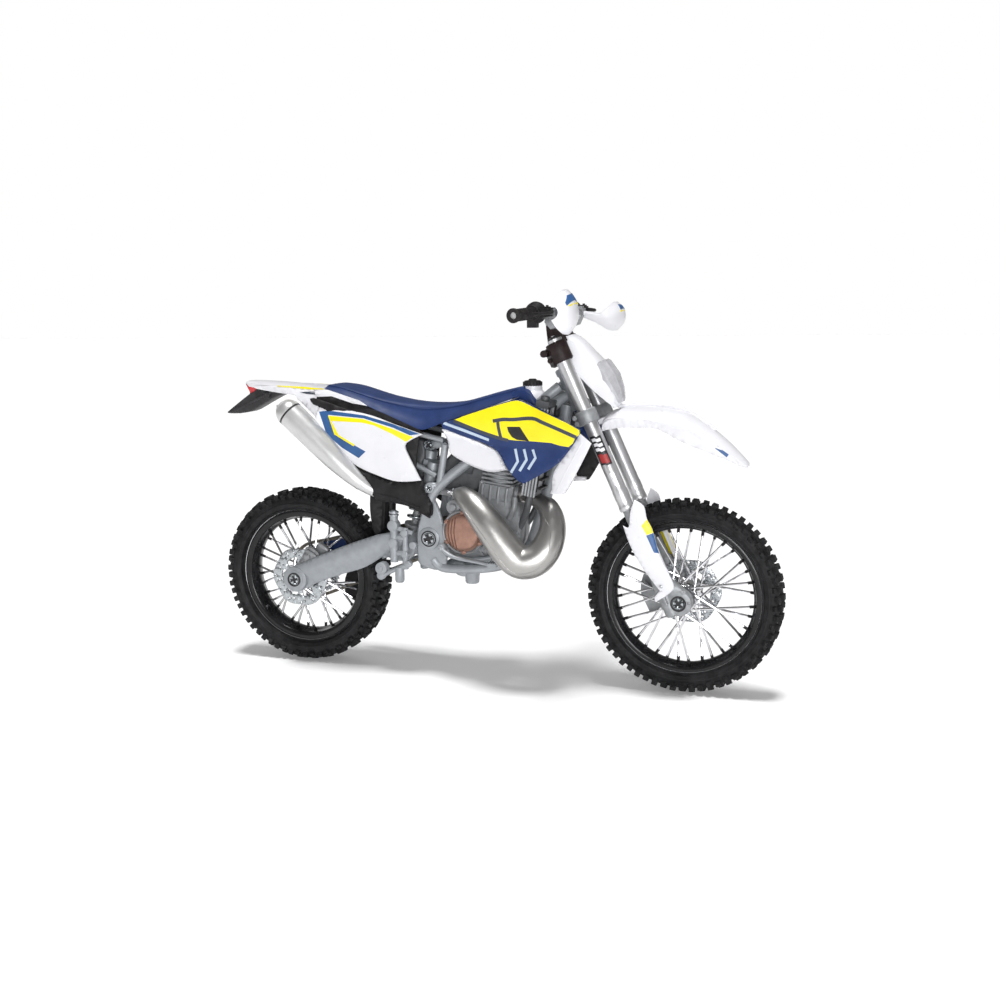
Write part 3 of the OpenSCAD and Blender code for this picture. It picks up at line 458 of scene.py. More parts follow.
LENS = paint("lens_grey", (0.66, 0.66, 0.69), 0.16, tint=0.08, patch=1.2, swing=0.06, grain=0.2,
    fine=0.5, clear=0.35, coat=0.4)
TAIL = paint("tail_red", (0.55, 0.012, 0.02), 0.2, tint=0.15, patch=1, grain=0.2, coat=0.6)
FLAP = paint("plate_grey", (0.022, 0.020, 0.022), 0.5, tint=0.12, patch=2, grain=0.3, fine=0.2)


def make(name, shapes, body, paints, nodes=(), sharp=38, bevel=0.0):
    """One piece from closed shapes. Each is (points, faces), that with each face's paint,
    or (shape, number of its paint)."""
    points, faces, kinds = [], [], []
    for shape in shapes:
        shape, kind = shape if isinstance(shape[1], int) else (shape, 0)
        start = len(points)
        points += [tuple(p) for p in shape[0]]
        faces += [tuple(v + start for v in f) for f in shape[1]]
        kinds += shape[2] if len(shape) == 3 else [kind] * len(shape[1])
    mesh = bpy.data.meshes.new(name)
    mesh.from_pydata(points, [], faces)
    for material in paints if isinstance(paints, (list, tuple)) else [paints]:
        mesh.materials.append(material)
    mesh.polygons.foreach_set("material_index", kinds)
    work = bmesh.new()
    work.from_mesh(mesh)
    bmesh.ops.remove_doubles(work, verts=work.verts, dist=1e-7)
    bmesh.ops.dissolve_degenerate(work, edges=work.edges, dist=1e-7)
    bmesh.ops.recalc_face_normals(work, faces=work.faces)
    work.to_mesh(mesh)
    work.free()
    mesh.shade_smooth()
    mesh.set_sharp_from_angle(angle=math.radians(sharp))
    piece = bpy.data.objects.new(name, mesh)
    bpy.context.scene.collection.objects.link(piece)
    if bevel:
        soften = piece.modifiers.new("edges", "BEVEL")
        soften.width, soften.segments, soften.angle_limit = bevel * MM, 2, math.radians(38)
        soften.harden_normals = False
    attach(piece, body)
    if nodes:
        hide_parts(*nodes)
    return piece


# ---------- wheels ----------


def wheel_spot(centre, r, angle, y):
    return centre + Vector((math.cos(angle) * r, y, math.sin(angle) * r)) * MM


def tyre(name, centre, r, width, bead, rim_w, body, node):
    half, deep = width / 2, r - 1.35
    right = [(bead, -rim_w / 2), (bead + 0.5, -rim_w / 2 - 0.35), (bead + 0.8, -rim_w / 2 - 0.5),
        (bead + 1.0, -rim_w / 2 - 0.35), (bead + 1.5, -half + 0.75), (bead + 2.3, -half + 0.42),
        (bead + 2.5, -half + 0.22), (bead + 2.9, -half + 0.22), (bead + 3.1, -half + 0.42),
        (deep - 1.5, -half + 0.55), (deep - 0.8, -half + 1.0), (deep - 0.15, -half * 0.62),
        (deep, -half * 0.3)]
    profile = right + [(a, -b) for a, b in reversed(right)]
    shapes = [turned(profile, centre, (0, 1, 0), 132)]

    def block(angle, y, lean, long, wide, low, high, draft=0.8):
        out = Vector((math.cos(angle), 0, math.sin(angle)))
        along = Vector((-math.sin(angle), 0, math.cos(angle)))
        across = Vector((0, 1, 0))
        away = out * math.cos(lean) + across * math.sin(lean)
        flat = across * math.cos(lean) - out * math.sin(lean)
        base = centre + (out * low + across * y) * MM
        points = []
        for h, share in ((0, 1.0), (high, draft)):
            for a, b in ((-1, -1), (1, -1), (1, 1), (-1, 1)):
                points.append(base + (away * h + along * a * long * share + flat * b * wide * share)
                    * MM)
        return points, [(0, 1, 2, 3), (4, 7, 6, 5), (0, 4, 5, 1), (1, 5, 6, 2), (2, 6, 7, 3),
            (3, 7, 4, 0)]

    rows = 62
    pitch = 2 * math.pi / rows
    top = r - 0.06
    for i in range(rows):
        a = -math.pi / 2 + i * pitch
        for s in (-1, 1):
            if i % 2 == 0:
                shapes.append(block(a, s * 0.115 * width, 0.06 * s, 0.95, 0.092 * width, deep - 0.5,
                    top - deep + 0.5, 0.86))
                shapes.append(block(a, s * 0.39 * width, 0.66 * s, 0.9, 0.065 * width, deep - 1.1,
                    1.55, 0.86))
            else:
                shapes.append(block(a, s * 0.27 * width, 0.28 * s, 0.95, 0.088 * width, deep - 0.75,
                    top - deep + 0.5, 0.86))
                shapes.append(block(a, s * 0.405 * width, 0.9 * s, 0.8, 0.055 * width, deep - 1.6,
                    1.4, 0.86))
    return make(name, shapes, body, RUBBER, [node], bevel=0.13)


def spoke_lines(centre, inner, flange_r, flange_y, count=36):
    """Ends of the crossed spokes: from the hub's flange to the rim."""
    for i in range(count):
        side = -1 if i % 2 else 1
        lead = 1 if i % 4 < 2 else -1
        rim_at = 2 * math.pi * (i + 0.5) / count
        hub_at = rim_at + lead * math.radians(47)
        yield (wheel_spot(centre, flange_r - 0.4, hub_at, side * flange_y),
               wheel_spot(centre, inner + 0.4, rim_at, side * 0.75))


def rod(a, b, r, sides=10, r2=None):
    along = (b - a).normalized()
    side = along.orthogonal().normalized()
    up = along.cross(side)
    turn = [2 * math.pi * k / sides for k in range(sides)]
    return loft([[p + (side * math.cos(t) + up * math.sin(t)) * q * MM for t in turn] for p,
        q in ((a, r), (b, r2 or r))])


def wheel(tag, centre, r, width, bead, inner, rim_w, hub_end, body):
    tyre(f"{tag}_tyre_knobbly", centre, r, width, bead, rim_w, body, f"{tag}_tyre")
    half = rim_w / 2
    lip = [(inner, -0.9), (inner + 0.15, -1.1), (inner + 0.75, -half + 0.5),
        (inner + 0.9, -half - 0.1), (inner + 1.3, -half - 0.5), (bead + 0.35, -half - 0.55),
        (bead + 0.6, -half - 0.35), (bead + 0.6, -half), (bead, -half)]
    profile = lip + [(a, -b) for a, b in reversed(lip)]
    shapes = [(turned(profile, centre, (0, 1, 0), 96), 0)]
    for s in (-1, 1):
        line = [(bead + 0.52 + 0.11 * math.cos(k), s * (half + 0.5) + 0.11 * math.sin(k))
            for k in (0, 1.57, 3.14, 4.71)]
        shapes.append((turned(line, centre, (0, 1, 0), 96), 1))
    make(f"{tag}_rim_gloss", shapes, body, [RIM, CHROME], [f"{tag}_rim"], sharp=50)
    flange_r, flange_y = 4.2, 4.3
    shapes = []
    for a, b in spoke_lines(centre, inner, flange_r, flange_y):
        shapes += [(rod(a, b, 0.35, 8), 0), (rod(b - (b - a).normalized() * 1.6 * MM, b, 0.46, 8), 1)]
    make(f"{tag}_spokes_crossed", shapes, body, [CHROME, BLACK], [f"{tag}_spokes"])
    drum = [(1.05, -hub_end), (2.5, -hub_end), (2.75, -hub_end + 0.2), (2.75, -flange_y - 0.45),
        (flange_r - 0.15, -flange_y - 0.45), (flange_r, -flange_y - 0.3),
        (flange_r, -flange_y + 0.25), (flange_r - 0.2, -flange_y + 0.4), (3.0, -flange_y + 0.8),
        (2.4, -flange_y + 1.8)]
    profile = drum + [(a, -b) for a, b in reversed(drum)]
    shapes = [turned(profile, centre, (0, 1, 0), 48)]
    for k in range(18):
        for s in (-1, 1):
            spot = wheel_spot(centre, flange_r - 0.45, 2 * math.pi * k / 18, s * (flange_y + 0.42))
            shapes.append(turned(knob(0.22, 0, 0.14, 0.05), spot, (0, s, 0), 8))
    make(f"{tag}_hub_turned", shapes, body, CHROME, [f"{tag}_hub"], sharp=45)


def disc_place(centre, y, sign):
    return lambda s, t, h: centre + Vector((s * MM, sign * (y + h) * MM, t * MM))


def brake_disc(name, centre, r, y, sign, body, node):
    wave = [((r - 0.3 + 0.28 * math.cos(k * math.pi / 6)) * math.cos(k * math.pi / 36),
        (r - 0.3 + 0.28 * math.cos(k * math.pi / 6)) * math.sin(k * math.pi / 36))
        for k in range(72)]
    holes = []
    for k in range(6):
        t = k * math.pi / 3
        lobe = [(r * 0.40, -0.30), (r * 0.66, -0.36), (r * 0.67, 0.1), (r * 0.60, 0.32),
            (r * 0.40, 0.22)]
        holes.append(curve([(a * math.cos(b + t), a * math.sin(b + t)) for a, b in lobe], 3, True))
    for k in range(36):
        t = k * math.pi / 18
        if k % 3 != 2:
            out = r * (0.79 if k % 3 else 0.87)
            holes.append(ring_of(0.4, 8, out * math.cos(t), out * math.sin(t)))
    holes.append(ring_of(2.06, 24))
    shapes = [slab(wave, disc_place(centre, y, sign), 0.6, 0.08, 0.08, holes, 2.5)]
    for k in range(6):
        spot = wheel_spot(centre, r * 0.70, k * math.pi / 3 + 0.52, sign * (y + 0.02))
        shapes.append(turned(knob(0.42, -0.1, 0.28, 0.1), spot, (0, sign, 0), 10))
    make(name, shapes, body, STEEL, [node])


wheel("rear", rear_axle, REAR_R, width=11.4, bead=21, inner=18.4, rim_w=6.4, hub_end=7,
    body="rear_wheel")
wheel("front", front_axle, FRONT_R, width=8.4, bead=22.2, inner=20.2, rim_w=4.4, hub_end=6.5,
    body="front_wheel")
brake_disc("rear_disc_drilled", rear_axle, r=9.7, y=6.4, sign=-1, body="rear_wheel", node="rear_disc")
brake_disc("front_disc_drilled", front_axle, r=10.0, y=6.0, sign=1, body="front_wheel",
    node="front_disc")

TEETH = 40
cog = []
for k in range(TEETH):
    for part, size in ((0.05, 7.62), (0.3, 7.62), (0.45, 8.12), (0.6, 8.12), (0.75, 7.9)):
        t = 2 * math.pi * (k + part) / TEETH
        cog.append((size * math.cos(t), size * math.sin(t)))
cog_holes = [ring_of(2.06, 24)]
for k in range(6):
    t = k * math.pi / 3
    shape = [(3.3, -0.33), (5.9, -0.40), (6.6, -0.2), (6.6, 0.2), (5.9, 0.40), (3.3, 0.33)]
    cog_holes.append(curve([(a * math.cos(b + t), a * math.sin(b + t)) for a, b in shape], 3, True))
make("rear_sprocket_toothed", [slab(cog, disc_place(rear_axle, 6.8, 1), 0.7, 0.08, 0.08, cog_holes,
    2.5)], "rear_wheel", STEEL, ["rear_sprocket"])

# ---------- frame and swingarm ----------

PIVOT = (46.4, 43.8)
pivot_outline = curve([(43.2, 35.4), (50.6, 34.2), (52, 40), (51.2, 48), (48.6, 55.4), (45.0, 58.4),
    (44, 52), (42.4, 46), (42.2, 40)], 5, True)
shapes = []
for shape in (tube([(86.4, 1.9, 90.2, 1.5), (76, 3.8, 81.6, 1.55), (67, 5.2, 74.2, 1.6),
        (58, 6.6, 66.8, 1.6), (50, 7.9, 60.2, 1.55), (46.9, 8.3, 55.6, 1.5),
        (46.8, 8.4, 50.8, 1.3)], sides=20), tube([(49.9, 8, 59.6, 1.25), (51, 8, 66, 1.1),
        (52.2, 8, 72.8, 1.1)], sides=14), tube([(76.6, 1.2, 42.6, 1.4), (74.6, 4.2, 39, 1.4),
        (72, 6.2, 37.2, 1.4), (66, 7.6, 35.6, 1.4), (58, 8.0, 34.8, 1.4), (50.4, 8.2, 34.9, 1.4),
        (47.6, 8.4, 37.4, 1.3)], sides=18), tube([(70.6, 7.0, 40.2, 0.7), (62, 7.4, 37.9, 0.7),
        (53, 7.6, 38.3, 0.7)], sides=10), plate(pivot_outline, 7.2, 8.8, 0.5),
        boss(*PIVOT, 3.5, 8.4, 9.2, 0.4), tube([(44.6, 8.5, 57.6, 0.9), (47.6, 8.9, 60.2, 1.0),
        (49.6, 8.3, 60.0, 0.9)], sides=10), boss(47.2, 59.6, 1.6, 8, 9.8, 0.3, 18),
        tube([(75.4, 6.6, 62.4, 0.55), (79.2, 3.0, 64.6, 0.55), (83.2, 1.4, 66.2, 0.55)],
        sides=8),):
    shapes += both(shape)
shapes += [turned([(1.55, 62.6), (2.7, 62.6), (3.0, 62.9), (3.0, 64.2), (2.65, 64.7), (2.6, 69),
    (2.65, 73.4), (3.0, 73.9), (3.0, 75.3), (2.7, 75.6), (1.55, 75.6)], fork(STEER_U, 0, 0),
    fork(0, 0, 1) - fork(0, 0, 0), 40), tube([(88.2, 0, 84.6, 2.0), (86.4, 0, 76, 1.75),
    (84, 0, 66, 1.7), (80.4, 0, 53.6, 1.7), (76.6, 0, 42.2, 1.8)], sides=22),
    tube([(88.6, 0, 87.4, 1.6), (84.6, 0, 85, 1.7), (80.8, 0, 80.6, 1.5)], sides=14),
    rod(at(50.5, -8, 34.9), at(50.5, 8, 34.9), 1.15, 14),
    rod(at(52, -7.8, 72.4), at(52, 7.8, 72.4), 0.9, 12),
    rod(at(45, -3.2, 72), at(45, 3.2, 72), 0.95, 14),
    plate([(43.9, 70.8), (52, 71.5), (52.2, 73.4), (43.9, 73.2)], 2.5, 3.3, 0.2),
    plate([(43.9, 70.8), (52, 71.5), (52.2, 73.4), (43.9, 73.2)], -3.3, -2.5, 0.2),
    rod(at(57, -7.7, 35.2), at(57, 7.7, 35.2), 1.15, 14),
    turned([(1.25, 28.6), (1.9, 28.6), (2.15, 28.9), (2.3, 31), (2.9, 33.2), (3.1, 35), (0, 35),
    (0, 33.1), (1.25, 33.1)], at(57, 0, 0), (0, 0, 1), 28),
    plate(curve([(50.6, 35.4), (51.2, 32.5), (53, 31), (55.2, 30.8), (56, 32.6), (56, 35.4)], 3,
    True), -1.9, 1.9, 0.5), boss(51.6, 36, 1.5, 7.4, 10), boss(51.6, 36, 0.8, 9.9, 12.4),]
make("frame_welded", shapes, "chassis", FRAME, ["main_frame"], sharp=42)

shapes = []
for s in (1, -1):
    shapes += screw(*PIVOT, 2.05, 9.7, s) + screw(47.2, 59.6, 1.05, 10.3, s, 35)
shapes += screw(45, 72, 1.5, 4.6, -1, 40) + [(rod(at(PIVOT[0], -9.2, PIVOT[1]),
    at(PIVOT[0], 9.2, PIVOT[1]), 0.95, 16), 0)]
rings = []
for s in (1, -1):
    rings.append(turned([(2.08, s * 8.9), (2.5, s * 8.9), (2.5, s * 9.32), (2.4, s * 9.4),
        (2.08, s * 9.3)], at(PIVOT[0], 0, PIVOT[1]), (0, 1, 0), 32))
make("frame_screws", shapes + [(x, 1) for x in rings], "chassis", [STEEL, BLACK_PRINT_AND_SHADE],
    ["frame_bolts"], sharp=30)

shapes = []
for a, b, r in (((51.4, 7.2, 74), (8, 7.2, 83.4), 0.85), ((48.6, 7.2, 63), (12, 7.2, 81.4), 0.85)):
    shapes += both(rod(at(*a), at(*b), r, 14))
make("subframe_rails", shapes, "chassis", FRAME, ["subframe"])

arm_outline = curve([(-4.5, 28.2), (-3.4, 31), (0.4, 32.7), (7, 35.7), (14, 38.6), (22, 41.7),
    (30, 44.3), (37, 45.4), (38.2, 43.4), (37, 41.0), (32.6, 38.6), (24.6, 33.6), (16, 30.6),
    (8, 27.7), (3.4, 25.2), (-0.4, 23.9), (-3.4, 25.3)], 5, True)


def arm_fold(s, t):
    """The arm's lower half leans inward below a crease, and its rear end is a little thinner."""
    crease = 29.4 + 0.385 * s
    return -0.42 * max(0, min(3.2, crease - t)) - 0.12 * max(0, min(3, t - crease)) - 0.25 * max(0,
        min(1, (8 - s) / 12))


shapes = []
for s in (1, -1):
    shapes.append(slab(arm_outline, lambda a, b, h,
        s=s: at(a, s * (9.95 + h + arm_fold(a, b) * (1 + h / 2.5)), b), 2.5, 0.55, 0.3, step=1.3))
    shapes.append(boss(0, REAR_R, 4.1, s * 7.4, s * 9.95, 0.4))
    shapes.append(boss(0, REAR_R, 2.9, s * 9.6, s * 10.15, 0.2))
    shapes.append(boss(*PIVOT, 2.9, s * 4.4, s * 6.9))
    shapes.append(plate([(31, 36.6), (36.6, 38.9), (37.6, 42.4), (33, 42.6)], s * 4.6, s * 7.5, 0.2))
    shapes.append(plate([(31, 36.4), (34.4, 35.4), (37.6, 35.6), (40, 38.6), (46, 40.9), (47, 46.6),
        (41, 44.6), (33, 42.2)], s * 4.4, s * 5.6, 0.2))
shapes += [plate([(29.8, 36.2), (31.8, 36.8), (32.2, 42.2), (30.2, 41.8)], -7.5, 7.5, 0.2),
    rod(at(35.5, -4.5, 37), at(35.5, 4.5, 37), 0.8, 14)]
make("swingarm_cast", shapes, "swingarm", FRAME, ["swingarm"])

shapes = []
for shape in (tube([(35.1, 9.9, 36.2, 1.2), (35.2, 9.9, 41, 1.35), (35.3, 9.9, 45, 1.3),
        (35.4, 9.9, 50.6, 1.25)], sides=18, steps=2),
        tube([(38.7, 9.6, 34, 0.9), (38.8, 9.6, 40, 1.0), (38.9, 9.6, 47, 0.95)], sides=14,
        steps=2), boss(35.3, 47.6, 1.7, 8.6, 11.4), boss(35.2, 42.2, 1.55, 9, 11.5),
        boss(38.9, 45.4, 1.25, 8.9, 10.9), boss(38.8, 38.8, 1.15, 8.9, 10.8),
        boss(31, 34, 1.9, 8.7, 11.4), boss(31, 34, 0.9, 11.3, 11.8, 0.1, 6),
        boss(41.4, 41.6, 1.2, 8.9, 10.3), tube([(36.8, 9.9, 29.8, 1.1), (36.8, 9.9, 30.6, 1.45),
        (36.8, 9.9, 34.6, 1.4)], sides=16, steps=2), tube([(30.8, 10, 31.6, 0.8),
        (35, 10, 33.6, 0.72), (39.8, 10, 35.6, 0.8)], sides=12, steps=2),
        boss(30.6, 31.6, 1.3, 9.1, 10.9), boss(39.8, 35.7, 1.1, 9.1, 10.9),
        rod(at(35.3, 9.9, 39), at(38.9, 9.6, 39), 0.9),
        rod(at(35.3, 9.9, 44), at(38.9, 9.6, 43.6), 0.9),
        rod(at(35.3, 9.9, 47), at(41.4, 9.4, 45.4), 0.8),):
    shapes += both(shape)
shapes += [turned(knob(1.5, w, w + 0.5, 0.1), at(35.4, s * 9.9, 0), (0, 0, 1), 20)
    for w in (50.6, 51.5) for s in (1, -1)]
shapes += [rod(at(35.4, s * 9.9, 50.2), at(35.5, s * 9.9, 52.3), 0.9) for s in (1, -1)]
make("linkage_barrels", shapes, "swingarm", FRAME, ["shock_linkage"])

shapes, rings = [], []
for s in (1, -1):
    shapes += screw(0, REAR_R, 1.75, 10.7, s, 12)
    rings.append(turned([(1.8, s * 10.05), (2.25, s * 10.05), (2.25, s * 10.45), (1.8, s * 10.4)],
        at(0, 0, REAR_R), (0, 1, 0), 32))
shapes.append((rod(at(0, -10.2, REAR_R), at(0, 10.2, REAR_R), 0.98, 16), 0))
make("rear_axle_screws", shapes + [(x, 1) for x in rings], "swingarm", [STEEL, BLACK_PRINT_AND_SHADE],
    ["rear_axle"], sharp=30)

shapes = [plate(curve([(-0.6, 32.2), (3.6, 38.6), (5.6, 38.2), (7.6, 36.4), (6.6, 34.2), (3, 32)],
    3, True, (0, 1)), -7.4, -6.75, 0.15), plate(curve([(1.4, 33.5), (3.9, 38), (7.1, 36),
    (5.8, 33.9)], 3, True, (0, 1)), -8.3, -7.2, 0.25),
    plate([(4.6, 36.4), (7.4, 40.0), (10.6, 37.6), (8.2, 34.2)], -5.6, -4.9, 0.25),
    plate([(6.8, 39.2), (7.8, 40.3), (10.9, 37.9), (10.2, 36.8)], -7.0, -5.2, 0.2),
    boss(4.3, 35.6, 0.8, -8.2, -8.8, 0.2, 16),]
make("rear_caliper_body", shapes, "swingarm", CAST, ["rear_caliper"])

make("chain_guide_moulded", [(plate(curve([(9.4, 19.6), (16, 19.4), (22.4, 24.4), (24, 33),
    (18, 31.6), (10.4, 28)], 3, True), 6.9, 7.5, 0.2), 1),
    (plate(curve([(1.2, 37.4), (7, 39.6), (15, 41), (27, 43.6), (29.2, 43.8), (29.2, 41),
    (12, 35.2), (4, 34.8)], 3, True), 6.9, 7.5, 0.2), 0)], "swingarm",
    [NAVY, BLACK], ["chain_guide"])

# Chain links, laid along the belt line between the two sprockets.
slope = math.atan2(SPROCKET[1] - REAR_R, SPROCKET[0])
span = math.hypot(SPROCKET[0], SPROCKET[1] - REAR_R)
big, small = 8.9, 4.1  # radii of the chain round the rear and front sprockets
lean = math.acos((big - small) / span)
line = [(big * math.cos(lean + (2 * math.pi - 2 * lean) * k / 40),
    big * math.sin(lean + (2 * math.pi - 2 * lean) * k / 40)) for k in range(41)]
line += [(span + small * math.cos(-lean + 2 * lean * k / 16),
    small * math.sin(-lean + 2 * lean * k / 16)) for k in range(17)]
total, spots = 0, []
lengths = [math.dist(line[k], line[(k + 1) % len(line)]) for k in range(len(line))]
links = round(sum(lengths) / LINK_PITCH)
pitch = sum(lengths) / links
for k, size in enumerate(lengths):
    a, b = line[k], line[(k + 1) % len(line)]
    while len(spots) * pitch < total + size - 1e-9:
        t = (len(spots) * pitch - total) / size
        spots.append((a[0] + (b[0] - a[0]) * t, a[1] + (b[1] - a[1]) * t))
    total += size
turn_to = lambda p: (p[0] * math.cos(slope) - p[1] * math.sin(slope),
    REAR_R + p[0] * math.sin(slope) + p[1] * math.cos(slope))
spots = [turn_to(p) for p in spots]
shapes = []
for k, (x, z) in enumerate(spots):
    x2, z2 = spots[(k + 1) % len(spots)]
    angle = math.atan2(z2 - z, x2 - x)
    y = 0.36 if k % 2 else 0.2
    outline = [(x + 0.5 * math.cos(angle + math.pi / 2 + math.pi * j / 5),
        z + 0.5 * math.sin(angle + math.pi / 2 + math.pi * j / 5)) for j in range(6)]
    outline += [(x2 + 0.5 * math.cos(angle - math.pi / 2 + math.pi * j / 5),
        z2 + 0.5 * math.sin(angle - math.pi / 2 + math.pi * j / 5)) for j in range(6)]
    for s in (-1, 1):
        low, high = CHAIN_Y + s * y - 0.07, CHAIN_Y + s * y + 0.07
        shapes.append(loft([[at(a, low, b) for a, b in outline], [at(a, high, b) for a, b in outline]]))
    shapes.append(rod(at(x, 6.03, z), at(x, 6.87, z), 0.2, 8))
make("chain_links", shapes, "swingarm", CHAIN, ["chain"])

# ---------- shock ----------


def spiral(radius, wire, low, high, turns, place, sides=8, per_turn=20):
    steps = int(turns * per_turn)
    rings = []
    for i in range(steps + 1):
        a = 2 * math.pi * i / per_turn
        w = low + wire + (high - low - 2 * wire) * i / steps
        ring = []
        for k in range(sides):
            t = 2 * math.pi * k / sides
            r = radius + wire * math.cos(t)
            ring.append(place(r * math.cos(a), r * math.sin(a), w + wire * math.sin(t)))
        rings.append(ring)
    return loft(rings)


up_shock = SHOCK_TOP - SHOCK_FOOT
tops = [turned([(1.26, 22), (1.9, 22), (2.2, 22.4), (2.2, 28.9), (3.1, 29.0), (3.2, 29.3),
    (3.2, 30), (2.4, 30.3), (2.1, 31), (2.1, 34.2), (0, 34.2), (0, 32.4), (1.26, 32.4)], SHOCK_FOOT,
    up_shock, 32), turned([(1.05, -2.2), (1.7, -2.2), (1.85, -2), (1.85, 2), (1.7, 2.2),
    (1.05, 2.2)], SHOCK_TOP, (0, 1, 0), 28), tube([(3.2, -4.6, 22.2, 1.5), (3.2, -4.6, 22.9, 1.9),
    (3.2, -4.6, 31.0, 1.9), (3.2, -4.6, 31.7, 1.5)], sides=24, steps=2, place=shock),
    tube([(3.2, -4.6, 24.0, 2.05), (3.2, -4.6, 24.7, 2.05)], sides=24, steps=1, place=shock),
    box((0, -5, 30.3), (3.4, -0.4, 31.8), shock)]
make("shock_reservoir_body", tops, "shock_body", FRAME, ["shock_body"], bevel=0.08)
spring = make("shock_spring_coil", [spiral(2.7, 0.42, 10.1, 28.9, 7, shock)], "shock_body",
    STEEL, ["shock_spring"], sharp=60)
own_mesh(spring)
make("shock_shaft", [turned([(0, 1), (1.15, 1), (1.15, 8.8), (3.1, 8.8), (3.2, 9), (3.2, 9.8),
    (1.2, 10), (1.15, 28.5), (0, 28.5)], SHOCK_FOOT, up_shock, 28),
    turned([(1.1, -1.5), (1.75, -1.5), (1.9, -1.3), (1.9, 1.3), (1.75, 1.5), (1.1, 1.5)],
    SHOCK_FOOT, (0, 1, 0), 24)], "shock_rod", CAST, ["shock_rod"])

# ---------- engine ----------

CLUTCH, IGNITION, PUMP = (58.2, 46.6), (65, 46.2), (67.4, 43.6)
case_outline = curve([(51.5, 38.5), (52.5, 50), (56, 55), (63, 56.6), (72.6, 55), (74.6, 49),
    (73.4, 41.5), (69, 37.9), (58, 37.2)], 5, True)
shapes = [turned([(6.15, -8.8), (6.75, -8.8), (6.75, -10.2), (6.5, -10.5), (6.15, -10.3)],
    at(CLUTCH[0], 0, CLUTCH[1]), (0, 1, 0), 56), plate(case_outline, -5.2, -0.25, 0.7),
    plate(case_outline, 0.25, 5.2, 0.7), plate([(a * 0.985 + 0.95, b * 0.985 + 0.7) for a,
    b in case_outline], -0.4, 0.4, 0.05), boss(*CLUTCH, 6.9, -5, -8.9, 0.5, 56),
    boss(*CLUTCH, 6.5, -8.8, -9.75, 0.3, 56), plate(curve([(52.2, 44), (52.6, 51.8), (56.2, 55.2),
    (61.6, 55.4), (66, 52), (71.4, 47.4), (71.8, 42.6), (68.8, 39.6), (62, 40.2), (55.2, 41)], 5,
    True), -8.0, -5, 0.6), boss(*PUMP, 3.8, -5, -9.3, 0.5, 36),
    boss(*PUMP, 2.6, -9.2, -9.9, 0.3, 30), boss(54.4, 53.8, 2.3, -4.6, -8.7, 0.5, 28),
    boss(54.4, 53.8, 1.2, -8.6, -9.3, 0.3, 20), boss(*IGNITION, 6.2, 5, 6.45, 0.3, 48),
    boss(*SPROCKET, 2, 5, 5.9, 0.2, 24), tube([(71.4, -5.6, 50.6, 0.9), (73, -6.4, 53.6, 0.9),
    (73.2, -5.6, 57, 0.9)], sides=12), tube([(60.6, -9.4, 54.4, 0.9), (62.4, -9.2, 55.3, 1.05),
    (64.2, -8.2, 55.2, 0.9)], sides=12),]
for x, z in ((57.4, 41.6), (64.6, 41), (70.4, 47.8), (66.4, 51), (60.8, 54.4)):
    shapes.append(boss(x, z, 0.8, -7.8, -8.7, 0.2, 14))
    shapes.append(boss(x, z, 0.45, -8.6, -9.1, 0.1, 6))
for x, z in ((54, 39.6), (62, 38.9), (70, 40), (73.2, 46), (72, 53.6), (54, 50.4)):
    shapes += [boss(x, z, 0.9, -4.6, -5.7, 0.2, 14), boss(x, z, 0.9, 4.6, 5.7, 0.2, 14)]
make("crankcase", shapes, "chassis", ENGINE, ["engine_case"], sharp=42)

grooves = [plate(curve([(CLUTCH[0] + a + k * 0.95, CLUTCH[1] + b) for a,
    b in ((-3.9, 3.4 + k * 0.4), (-4.4, 0), (-3.7, -3.5 - k * 0.4), (-3.42, -3.5 - k * 0.4),
    (-4.1, 0), (-3.6, 3.4 + k * 0.4))], 3, True), -12.02, -11.7, 0.02) for k in range(3)]
cover = [turned([(0, -9.7), (5.9, -9.7), (5.9, -10.5), (5.75, -10.85), (5.4, -11.1), (5.25, -11.5),
    (4.95, -11.8), (4.4, -11.93), (0, -12.0)], at(CLUTCH[0], 0, CLUTCH[1]), (0, 1, 0), 64)]
for k in range(6):
    a = math.radians(30 + 60 * k)
    x, z = CLUTCH[0] + 6 * math.cos(a), CLUTCH[1] + 6 * math.sin(a)
    cover += [boss(x, z, 0.8, -9.6, -10.7, 0.2, 18), boss(x, z, 0.42, -10.6, -11.1, 0.1, 6)]
make("clutch_cover_copper", [(x, 0) for x in cover] + [(x, 1) for x in grooves], "chassis",
    [COPPER, paint("copper_shadow", (0.13, 0.055, 0.035), 0.6, metal=0.3,
    tint=0.2)], ["clutch_cover"], sharp=34)
cover = [turned([(0, 6.4), (5.9, 6.4), (5.9, 7.6), (5.6, 8.2), (5.0, 8.4), (4.8, 8.9), (4.4, 9.15),
    (0, 9.2)], at(IGNITION[0], 0, IGNITION[1]), (0, 1, 0), 56)]
for k in range(5):
    a = math.radians(20 + 72 * k)
    cover.append(boss(IGNITION[0] + 5.2 * math.cos(a), IGNITION[1] + 5.2 * math.sin(a), 0.5, 8.1,
        8.9, 0.1, 6))
cover += [plate([(63 + k * 1.6, 43.6), (63 + k * 1.6, 48.6), (63.8 + k * 1.6, 48.6),
    (63.8 + k * 1.6, 43.6)], 9.0, 9.4, 0.1) for k in range(3)]
make("ignition_cover_round", cover, "chassis", ENGINE, ["ignition_cover"], sharp=34)

cog = []
for k in range(11):
    for part, size in ((0.0, 1.9), (0.3, 1.9), (0.45, 2.38), (0.6, 2.38), (0.85, 1.95)):
        t = 2 * math.pi * (k + part) / 11
        cog.append((53.2 + size * math.cos(t), 45 + size * math.sin(t)))
make("front_sprocket_toothed", [plate(cog, 6.1, 6.8, 0.08), boss(*SPROCKET, 1, 1.3, 7.05, 0.15, 20),
    boss(*SPROCKET, 0.6, 7, 7.3, 0.1, 6)], "chassis", STEEL, ["front_sprocket"])

